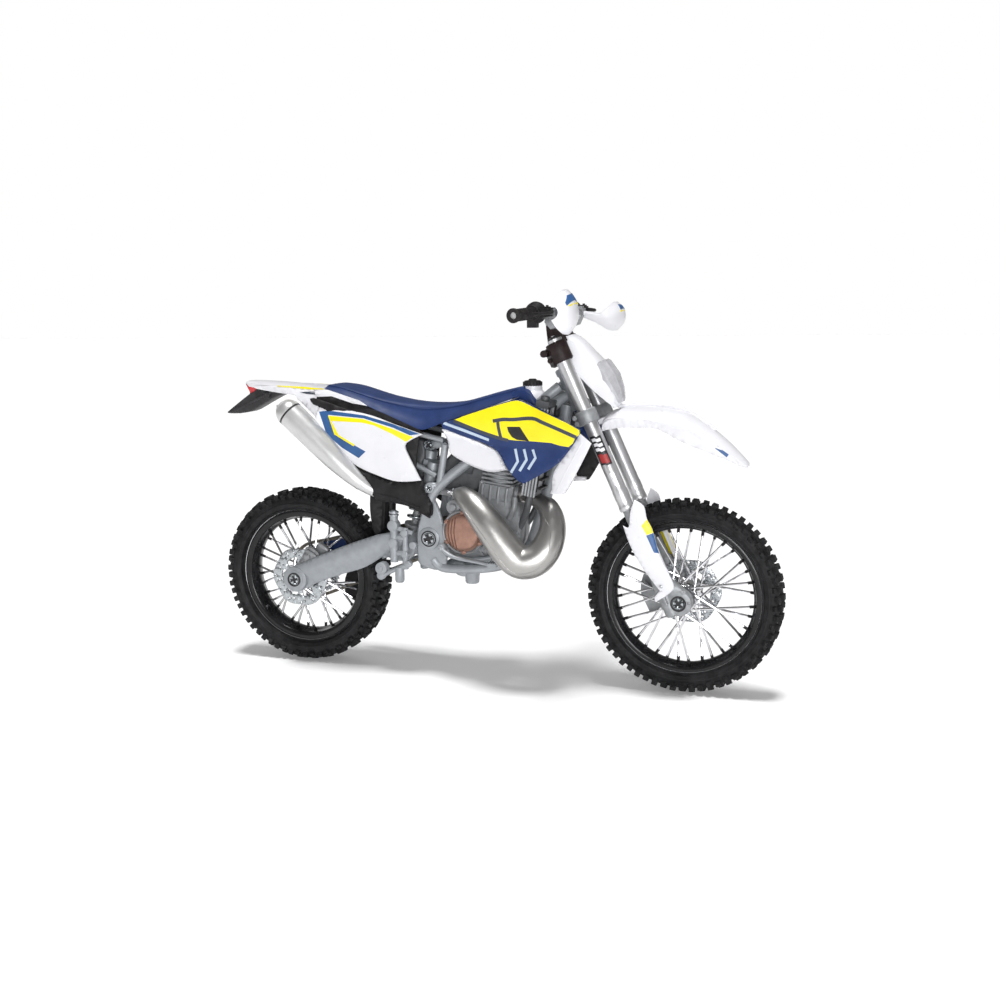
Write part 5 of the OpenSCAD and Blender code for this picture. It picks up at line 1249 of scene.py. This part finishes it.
def clamp(w0, w1, boss_r, body, look, node, extra=()):
    ear = 3.15
    back = [(STEER_U - boss_r, 2.2), (STEER_U - boss_r, -2.2)]
    front = [(TUBE_U + 1.6, -4.6), (TUBE_U + 0.4, -2), (TUBE_U + 0.2, 0), (TUBE_U + 0.4, 2),
        (TUBE_U + 1.6, 4.6)]
    right = [(TUBE_U - ear * math.cos(t), -TUBE_Y - ear * math.sin(t))
        for t in [-0.7 + 3.9 * k / 18 for k in range(19)]]
    left = [(a, -b) for a, b in reversed(right)]
    outline = front + left + back + right
    holes = [ring_of(2.17, 28, TUBE_U, TUBE_Y), ring_of(2.17, 28, TUBE_U, -TUBE_Y)]
    plan = lambda s, t, h: fork(s, t, w1 + h)
    shapes = [slab(outline, plan, w1 - w0, 0.35, 0.35, holes, 3)] + list(extra)
    for s in (1, -1):
        for w in (w0 + 0.28 * (w1 - w0), w0 + 0.72 * (w1 - w0)):
            shapes.append(tube([(TUBE_U - 3.3, s * TUBE_Y - 1.5, w, 0.75),
                (TUBE_U - 3.3, s * TUBE_Y + 1.5, w, 0.75)], sides=12, steps=1, place=fork))
            shapes.append(tube([(TUBE_U - 3.3, s * TUBE_Y + s * 1.4, w, 0.45),
                (TUBE_U - 3.3, s * TUBE_Y + s * 1.9, w, 0.45)], sides=6, steps=1, place=fork))
    return make(f"{node}_forged", shapes, body, look, [node], sharp=35)


clamp(57.5, 61.5, 2.9, "steering", CAST, "lower_clamp",
    [fork_turned([(0, 60), (1.45, 60), (1.45, 79), (0, 79)], STEER_U, 0, 20),
    fork_turned([(1.5, 61.3), (2.6, 61.3), (2.6, 62.2), (1.5, 62.2)], STEER_U, 0, 28)])
risers = []
for s in (1, -1):
    risers += [slab([(-6.6, 82), (-0.6, 82), (-0.9, 85.2), (-1.2, 88.0), (-4.6, 88.4), (-5.4, 86)],
        fork_side(6.0, s), 3.0, 0.5, 0.3, step=3), tube([(-6.9, s * 6.4, 80.8, 1.05),
        (-6.9, s * 11.4, 80.8, 1.05)], sides=16, steps=1, place=fork)]
clamp(76.6, 82.6, 3, "steering", BROWN, "upper_clamp",
    risers + [fork_turned([(0, 82.4), (1.7, 82.4), (1.7, 83.2), (1.4, 83.5), (0, 83.5)], STEER_U, 0,
    6)])

tube_profile = [(1.66, 30.3), (2.1, 30.3), (2.3, 30.6), (2.3, 31.6), (2.18, 31.9), (2.18, 33.4),
    (2.26, 33.7), (2.26, 36.2), (2.15, 36.6), (2.15, 83.5), (1.66, 83.5)]


def print_on_tube(s, w0, w1, a0, a1, r):
    """A label wrapped part way round a fork tube, its angles counted forward from straight out to the side."""
    rings = []
    for w in (w0, w1):
        ring = []
        for radius, order in ((r, range(13)), (2.05, range(12, -1, -1))):
            for k in order:
                t = math.radians(a0 + (a1 - a0) * k / 12)
                ring.append(fork(TUBE_U + radius * math.sin(t), s * (TUBE_Y + radius * math.cos(t)),
                    w + (0.5 if k < 6 else 0)))
        rings.append(ring)
    return loft(rings)


shapes = []
for s in (1, -1):
    shapes += [(fork_turned(tube_profile, TUBE_U, s * TUBE_Y, 40), 0),
        (fork_turned([(0, 83.4), (1.9, 83.4), (1.9, 83.9), (1.5, 84.2), (1.1, 84.3), (0, 84.3)],
        TUBE_U, s * TUBE_Y, 28), 3), (fork_turned([(0, 84.2), (0.55, 84.2), (0.55, 84.6),
        (0, 84.6)], TUBE_U, s * TUBE_Y, 6), 0)]
    shapes += [(print_on_tube(s, 44.4, 53.2, -42, 50, 2.19), 3),
        (print_on_tube(s, 45.0, 47.6, -30, 38, 2.22), 1)]
    shapes += [(print_on_tube(s, 48.6 + 1.5 * k, 49.5 + 1.5 * k, -30, 38, 2.22), 2) for k in range(3)]
    shapes.append((print_on_tube(s, 37.6, 41.6, -6, 26, 2.165), 4))
make("fork_tubes_drawn", shapes, "steering", [FORK, RED, WHITE, BLACK_PRINT_AND_SHADE, CHROME],
    ["fork_tubes"], sharp=35)

# Handlebar, grips, levers and switches.
BAR = [(82.5, 32.4, 111.3), (84.7, 17, 111.9), (85.4, 12, 111.6), (85, 5.6, 109.3)]
line = [(x, y, z) for x, y, z in BAR] + [(85, 0, 109.3)] + [(x, -y, z) for x, y, z in reversed(BAR)]
make("handlebar_bent", [tube([p + (0.95,) for p in line], sides=24, steps=8)], "steering",
    FORK, ["handlebar"])


def on_bar(y):
    (x0, y0, z0), (x1, y1, z1) = BAR[1], BAR[0]
    t = (abs(y) - y0) / (y1 - y0)
    return x0 + (x1 - x0) * t, y, z0 + (z1 - z0) * t


def sleeve(y0, y1, profile, sides=28):
    """A profile of (radius, share of the way) round the bar between two distances from the middle."""
    a, b = Vector(at(*on_bar(y0))), Vector(at(*on_bar(y1)))
    span = (b - a).length / MM
    return turned([(r, share * span) for r, share in profile], a, b - a, sides)


grip = [(0.97, 0)]
for k in range(26):
    grip += [(1.72, 0.02 + k * 0.0355), (1.72, 0.038 + k * 0.0355), (1.5, 0.042 + k * 0.0355),
        (1.5, 0.052 + k * 0.0355)]
grip += [(2.0, 0.945), (2.02, 0.985), (1.8, 1.0), (0.97, 1.0)]
shapes = []
for s in (1, -1):
    shapes += [sleeve(s * 21.4, s * 32.9, grip), sleeve(s * 20.8, s * 21.5,
        [(0.97, 0), (2.2, 0), (2.3, 0.3), (2.3, 0.7), (2.1, 1), (0.97, 1)])]
make("grips_ribbed", shapes, "steering", GRIP, ["grips"], sharp=30)

shapes = []
for s in (1, -1):
    shapes += [sleeve(s * 17.8, s * 20.6, [(0.97, 0), (1.95, 0), (2.1, 0.08), (2.1, 0.92),
        (1.95, 1), (0.97, 1)]), box((85.7, s * 17.7, 110.7), (89.1, s * 20.9, 113.1)),
        box((86.2, s * 18.1, 113), (88.7, s * 20.5, 113.5)),
        tube([(88.6, s * 19, 112, 0.75), (89.8, s * 21, 112, 0.55), (90.2, s * 24, 111.8, 0.5),
        (89.0, s * 28, 111.7, 0.48), (87.6, s * 31, 111.6, 0.5), (87.3, s * 31.8, 111.6, 0.62)],
        sides=12), tube([(88.0, s * 19.4, 113.1, 0.4), (88.0, s * 19.4, 113.9, 0.4)], sides=10,
        steps=1)]
shapes += [box((82.3, -20.3, 107.7), (85.1, -17.9, 110.5)),
    box((86.3, -2.5, 110.7), (89.1, 2.5, 113.5)), box((86.8, -1.9, 113.4), (88.7, 1.9, 113.8))]
for s in (1, -1):
    shapes += [sleeve(s * 16.9, s * 20.4, [(0.97, 0), (2.0, 0.02), (2.9, 0.2), (3.1, 0.5),
        (2.9, 0.8), (2.0, 1), (0.97, 1)]), tube([(83.4, s * 18.6, 113.2, 1.0),
        (84.4, s * 18.4, 114.3, 0.9)], sides=14, steps=1)]
make("bar_switches", shapes, "steering", BLACK, ["bar_controls"], bevel=0.18)
shapes = []
for s in (1, -1):
    shapes += [box((83.3, s * 4.4 - 1.3, 108.0), (86.7, s * 4.4 + 1.3, 109.4)),
        box((83.3, s * 4.4 - 1.3, 109.5), (86.7, s * 4.4 + 1.3, 110.9))]
    shapes += [turned(knob(0.42, 0, 0.6, 0.1), at(x, s * 4.4, 110.7), (0, 0, 1), 6)
        for x in (83.9, 86.1)]
for s in (1, -1):
    shapes += [box((86.2, s * 12.6, 110.2), (89.4, s * 16.4, 112.6)),
        box((86.6, s * 13.0, 112.5), (89.0, s * 16.0, 113.2)),
        tube([(84.4, s * 12.4, 112.0, 1.5), (84.6, s * 16.2, 112.0, 1.5)], sides=18, steps=1)]
    shapes += [plate([(85.4, 111.6), (88.6, 112.4), (90.2, 110.4), (89.0, 107.8), (86.6, 107.0),
        (84.8, 109)], s * 7.8, s * 12.2, 0.4), boss(87.6, 109.6, 1.2, s * 12.0, s * 12.9, 0.2, 16)]
make("bar_clamps", shapes, "steering", CAST, [], bevel=0.25)

guard_rings = curve([(12.4, 85.6, 111.6, 0.7, 0.5), (14, 88.8, 111.7, 0.9, 0.5),
    (16.4, 92.4, 111.6, 1.3, 0.5), (19, 94.9, 111.4, 2.6, 0.7), (22, 96.3, 111.5, 4.5, 0.9),
    (26, 97.1, 111.9, 5.8, 1.0), (30, 97.1, 112.1, 5.8, 1.0), (32.6, 96.2, 112.0, 4.2, 0.9),
    (33.7, 95.0, 112, 2.0, 0.6)], 5)
shapes = []
for s, shrink, drop in ((-1, 1.0, 0.0), (1, 0.74, 2.2)):
    rings, rows = [], 14
    for y, x, z, half, bulge in guard_rings:
        high = max(half * shrink, min(half, 1.35))
        outer = [(x + bulge * (1 - t**2) * 1.6 - 0.9 * abs(t) ** 3,
            z - drop * min(1, (y - 12.4) / 6) + high * t)
            for t in [-1 + 2 * k / rows for k in range(rows + 1)]]
        inner = [(a - 0.75, b) for a, b in reversed(outer)]
        rings.append([at(min(a, 100.0), s * y, b) for a, b in outer + inner])
    shapes.append((loft(rings), 0))

    def on_guard(p, v, h, s=s, shrink=shrink, drop=drop):
        """A point on the shield's face, y out and v sixths of its half height up."""
        t = v / 6
        i = max(k for k in range(len(guard_rings) - 1) if guard_rings[k][0] <= p or k == 0)
        low, high = guard_rings[i], guard_rings[i + 1]
        share = (p - low[0]) / (high[0] - low[0])
        x, z, half, bulge = [a + share * (b - a) for a, b in zip(low[1:], high[1:])]
        return at(x + bulge * (1 - t**2) * 1.6 - 0.9 * abs(t) ** 3 + h + 0.16, s * p,
            z - drop * min(1, (p - 12.4) / 6) + half * shrink * t)
    shapes.append((slab([(25.5, 3.2), (32.6, 2.6), (32.6, 3.6), (31.0, 4.9), (26.5, 5.2)], on_guard,
        0.3, 0, step=0.5), 1))
    shapes.append((slab([(24.6, 2.4), (31.8, 1.9), (32.2, 2.5), (25.2, 3.0)], on_guard, 0.3, 0,
        step=0.5), 2))
make("hand_guard_shields", shapes, "steering", [WHITE, BLUE, YELLOW],
    ["hand_guards"], sharp=40)


rings = []
for w, front, edge, half in curve([(83.3, 0.2, -1.4, 4.2), (82.9, 0.9, -1.7, 4.4),
        (80.6, 2.6, -1.8, 4.9), (76, 4.3, -1.7, 5.9), (72.4, 5.7, -1.4, 6.7), (67.6, 7.2, 0.2, 6.9),
        (63, 6.9, 2.1, 5.8), (60, 5.9, 3.4, 4.4), (58.8, 5.1, 4.0, 3.4)], 4):
    outer = [(-half, edge), (-half * 0.97, (front + edge) * 0.5), (-half * 0.86, front - 1.15),
        (-half * 0.68, front - 0.45), (-half * 0.4, front - 0.05), (0, front + 0.12)]
    outer += [(-y, u) for y, u in reversed(outer[:-1])]
    inner = [(y * 0.88, u - 0.9 if abs(y) < half * 0.96 else u) for y, u in reversed(outer)]
    rings.append([fork(u, y, w) for y, u in outer + inner])
make("headlight_mask_shell", [loft(rings)], "steering", [WHITE],
    ["headlight_mask"], sharp=40)
lens = []
for w, u, half, crown in [(72.6, 6.7, 4.6, 1.0), (72.0, 7.2, 5.8, 1.6), (67.4, 8.2, 6.6, 2.0),
        (63.2, 7.8, 5.3, 1.5), (60.2, 6.9, 3.4, 0.9), (59.4, 6.4, 2.3, 0.6)]:
    across = [-1, -0.97, -0.55, -0.5, -0.08, -0.04, 0.04, 0.08, 0.5, 0.55, 0.97, 1]
    lift = [-0.5, 0, 0.05, 0.2, 0.2, 0.05, 0.05, 0.2, 0.2, 0.05, 0, -0.5]
    top = [(half * a, u - crown * a * a + b) for a, b in zip(across, lift)]
    lens.append([fork(b, a, w) for a, b in top] + [fork(b - 1.5, a * 0.95, w) for a, b in reversed(top)])
make("headlight_lens_fluted", [loft(lens)], "steering", LENS, ["headlight_lens"], sharp=12)

fender = arch([(99.4, 80.6, 3.6, 1.0, 0.9), (101, 82.6, 5.2, 1.6, 0.9),
    (104.4, 83.9, 6.3, 2.4, 0.9), (109, 84.5, 7.0, 3.0, 0.9), (115, 84.5, 7.6, 3.4, 0.9),
    (120.7, 83.8, 7.9, 3.6, 0.9), (125.5, 82.3, 7.8, 3.5, 0.9), (130.3, 79.0, 7.1, 3.1, 0.9),
    (135, 75.3, 6.0, 2.4, 0.9), (138.8, 71.6, 4.4, 1.4, 0.9), (140.9, 69.4, 3.0, 0.7, 0.8),
    (141.4, 68.6, 2.0, 0.3, 0.6)], 5, 18)
skirts = []
for s in (1, -1):
    wing = curve([(103.2, 81.2), (110, 81.6), (118, 81.2), (126, 79.4), (132, 75.8), (136, 72.2),
        (139.8, 68.5), (135.4, 70.4), (123.7, 75.1), (116.6, 78.7), (111.5, 79), (104.6, 78.7),
        (99.9, 77.6), (100.4, 79.8)], 3, True, (6, 12))
    skirts.append((slab(wing, side_place(7.5, s, lambda a,
        b: -0.10 * max(0, a - 124) - 0.018 * max(0, a - 124) ** 1.35 - 0.16 * max(0, 108 - a)), 0.7,
        0.2, 0.15, step=2), 0))
    skirts.append((slab(band([(133.0, 73.9), (136.2, 71.4)], 0.9),
        side_place(7.58, s, lambda a, b: -0.10 * max(0, a - 124) - 0.018 * max(0, a - 124) ** 1.35),
        0.3, 0, step=2), 1))
shapes = [(fender, 0)] + skirts
shapes += [(tube([(103.4, 0, 84.3, 0.5), (112, 0, 84.75, 0.75), (122, 0, 83.9, 0.7),
    (132, 0, 78.1, 0.55)], sides=10), 0), (box((-2.2, -3.4, 55.9), (3.1, 3.4, 57.4), lambda u, y,
    w: fork(u, y, w)), 0)]
make("front_fender_shell", shapes, "steering", [WHITE, BLUE], ["front_fender"],
    sharp=40)

# ---------- lower fork ----------

shapes = []
for s in (1, -1):
    shapes += [fork_turned([(0, -3), (1.7, -3), (2.1, -2.6), (2.1, 11.4), (1.9, 11.8), (1.6, 12.2),
        (1.6, 61.8), (0, 61.8)], TUBE_U, s * TUBE_Y, 30),
        turned(knob(3.8, s * 6.65, s * 10.3, 0.4), front_axle, (0, 1, 0), 40),
        slab([(-3.6, -2.6), (2.4, -2.2), (3.2, 2.4), (1.2, 5.8), (-0.9, 10.6), (-5.0, 10.8),
        (-5.2, 0)], fork_side(10.2, s), 3.3, 0.5, 0.3, step=4),
        tube([(-3.1, s * 10.6, 1.0, 0.6), (-3.1, s * 10.6, 9.4, 0.6)], sides=10, steps=1,
        place=fork)]
    for w in (-1.4, 4.6):
        shapes.append(turned(knob(0.5, s * 9.9, s * 10.85, 0.1),
            fork(3.0 if w < 0 else 2.4, 0, w * 0.62), (0, 1, 0), 6))
make("fork_lower_legs", shapes, "fork_slider", CAST, ["fork_legs"], bevel=0.1)
springs = [spiral(1.25, 0.3, 62, 74, 6, lambda u, y, w, s=s: fork(TUBE_U + u, s * TUBE_Y + y, w))
    for s in (1, -1)]
springs = make("fork_springs_coil", springs, "steering", STEEL, ["fork_springs"],
    sharp=60)
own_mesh(springs)
caliper = curve([(-13.2, -2.2), (-13.5, 5.4), (-9.8, 10.2), (-6.6, 10.8), (-7.4, 3.4),
    (-8.8, -2.2)], 3, True, (3, 4))
shapes = [slab(caliper, fork_side(7.5, 1), 1.2, 0.4, 0.2, step=3),
    slab([(-13.2, -1.8), (-13.4, 5), (-10.9, 7.8), (-8.6, 2), (-9.5, -1.8)], fork_side(5.1, 1), 0.6,
    0.15), slab([(-13.3, -1.8), (-13.4, 5), (-11.9, 7.4), (-11.7, 3), (-11.8, -1.8)],
    fork_side(6.4, 1), 1.5, 0.1)]
shapes += [turned(knob(1.1, 7.4, 8.1, 0.2), fork(-11.2, 0, w), (0, 1, 0), 20) for w in (0.4, 4.2)]
make("front_caliper_body", shapes, "fork_slider", CAST, ["front_caliper"], bevel=0.08)

guard = curve([(-5.6, 2.9), (-0.6, 4.0), (1.2, 5.9), (0.9, 14.9), (1.8, 22.5), (1.6, 26),
    (2.2, 29.7), (0.6, 32.4), (-1.8, 29.8), (-4.1, 25.8), (-5.5, 26.8), (-5.9, 20.5), (-5.1, 13.2),
    (-3.2, 5.5), (-5.4, 4.3)], 4, True, (0, 7, 10, 13))
front_edge = lambda s, t: -0.16 * max(0, s + 0.4) ** 1.5
shapes = []
for s in (1, -1):
    place = fork_side(11.6, s, front_edge)
    prints = [([(-0.5, 24.8), (1.9, 26), (1.9, 21.7), (-0.1, 21.8)], 1),
        ([(-0.3, 21.7), (1.9, 21.6), (1.2, 15.4), (-0.2, 16.4)], 2)]
    shapes.append(slab(guard, place, 0.68, 0.3, 0.1, step=1.3, zones=prints))
    shapes.append((slab(band([(-4.4, 20.2), (-1.6, 22.6), (-0.8, 28)], 0.25), fork_side(11.66, s),
        0.3, 0, step=2), 0))
    shapes.append((box((-0.4, s * 7.5, 5.6), (0.3, s * 11.2, 23.6), fork), 0))
    shapes.append((slab([(-3.2, 8), (0.2, 8), (0.6, 23.8), (-3.6, 23.8), (-4.2, 14)],
        fork_side(10.85, s), 0.3, 0.05), 1))
    shapes.append((box((-3.5, s * 10.3, 8.1), (-2.7, s * 11.1, 9.9), fork), 0))
    shapes.append((turned(knob(0.55, s * 11.3, s * 12.0, 0.12), fork(-2.2, 0, 6.6), (0, 1, 0), 6), 3))
make("fork_guard_shells", shapes, "fork_slider", [WHITE, YELLOW, BLUE, STEEL],
    ["fork_guards"], sharp=32)
shapes, rings = [(rod(at(WHEELBASE, -9.8, FRONT_R), at(WHEELBASE, 9.8, FRONT_R), 0.98, 16), 0)], []
for s in (1, -1):
    shapes += screw(WHEELBASE, FRONT_R, 1.75, 10.75, s, 40)
    rings.append(turned([(1.8, s * 10.2), (2.3, s * 10.2), (2.3, s * 10.55), (1.8, s * 10.5)],
        front_axle, (0, 1, 0), 32))
make("front_axle_screws", shapes + [(x, 1) for x in rings], "fork_slider",
    [STEEL, BLACK_PRINT_AND_SHADE], ["front_axle"], sharp=30)

# ---------- floor, light and camera ----------

FLOOR = 3.0
floor_mesh = bpy.data.meshes.new("floor")
floor_mesh.from_pydata([(-FLOOR, -FLOOR, -0.0001), (FLOOR, -FLOOR, -0.0001),
    (FLOOR, FLOOR, -0.0001), (-FLOOR, FLOOR, -0.0001)], [], [(0, 1, 2, 3)])
floor_look = bpy.data.materials.new("floor_white")
floor_look.use_nodes = True
floor_shader = floor_look.node_tree.nodes["Principled BSDF"]
floor_shader.inputs["Base Color"].default_value = (0.93, 0.93, 0.935, 1)
floor_shader.inputs["Roughness"].default_value = 0.9
floor_shader.inputs["Emission Color"].default_value = (1, 1, 1, 1)
floor_rays = floor_look.node_tree.nodes.new("ShaderNodeLightPath")
floor_glow = floor_look.node_tree.nodes.new("ShaderNodeMath")
floor_glow.operation = "MULTIPLY"
floor_glow.inputs[1].default_value = 0.11
floor_look.node_tree.links.new(floor_rays.outputs["Is Camera Ray"], floor_glow.inputs[0])
floor_look.node_tree.links.new(floor_glow.outputs["Value"], floor_shader.inputs["Emission Strength"])
floor_mesh.materials.append(floor_look)
floor = bpy.data.objects.new("floor", floor_mesh)
bpy.context.scene.collection.objects.link(floor)
floor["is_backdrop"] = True

world = bpy.data.worlds.new("studio")
bpy.context.scene.world = world
world.use_nodes = True
nodes, links = world.node_tree.nodes, world.node_tree.links
background = nodes["Background"]
rays = nodes.new("ShaderNodeLightPath")
backdrop = nodes.new("ShaderNodeBackground")
choose = nodes.new("ShaderNodeMixShader")
background.inputs["Color"].default_value = (1.0, 0.985, 0.97, 1)
background.inputs["Strength"].default_value = 0.21
backdrop.inputs["Color"].default_value = (1, 1, 1, 1)
backdrop.inputs["Strength"].default_value = 1.0
links.new(rays.outputs["Is Camera Ray"], choose.inputs["Fac"])
links.new(background.outputs["Background"], choose.inputs[1])
links.new(backdrop.outputs["Background"], choose.inputs[2])
links.new(choose.outputs["Shader"], nodes["World Output"].inputs["Surface"])


def softbox(name, place, target, size, power, colour=(1, 1, 1)):
    lamp = bpy.data.lights.new(name, "AREA")
    lamp.shape, lamp.size, lamp.size_y = "RECTANGLE", size[0], size[1]
    lamp.energy, lamp.color = power, colour
    holder = bpy.data.objects.new(name, lamp)
    holder.location = place
    holder.rotation_euler = (Vector(target) - Vector(place)).to_track_quat("-Z", "Y").to_euler()
    bpy.context.scene.collection.objects.link(holder)


softbox("front_fill", (0.32, -0.70, 0.15), (0, 0, 0.06), (0.42, 0.26), 3.4, (0.98, 0.985, 1.0))
softbox("left_rim", (-0.60, 0.40, 0.35), (0, 0, 0.06), (0.3, 0.4), 0.6)
sun = bpy.data.lights.new("overhead", "SUN")
sun.energy, sun.angle = 2.55, math.radians(13)
overhead = bpy.data.objects.new("overhead", sun)
overhead.rotation_euler = (math.radians(5), math.radians(1), 0)
bpy.context.scene.collection.objects.link(overhead)

YAW, PITCH, ROLL = 0.3350, 0.1696, -0.0163
ahead = Vector((-math.sin(YAW) * math.cos(PITCH), math.cos(YAW) * math.cos(PITCH), -math.sin(PITCH)))
right = Vector((math.cos(YAW), math.sin(YAW), 0))
above = right.cross(ahead)
tilted_right = right * math.cos(ROLL) + above * math.sin(ROLL)
tilted_above = above * math.cos(ROLL) - right * math.sin(ROLL)
lens_camera = bpy.data.cameras.new("camera")
lens_camera.lens, lens_camera.sensor_width = 42.85, 36
lens_camera.clip_start, lens_camera.clip_end = 0.01, 20
lens_camera.dof.use_dof = False
camera = bpy.data.objects.new("camera", lens_camera)
basis = Matrix((tilted_right, tilted_above, -ahead)).transposed()
camera.matrix_world = Matrix.Translation(Vector((122.30, -338.62, 116.52)) * MM) @ basis.to_4x4()
bpy.context.scene.collection.objects.link(camera)
bpy.context.scene.camera = camera
bpy.context.scene.view_settings.view_transform = "Standard"

low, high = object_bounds()
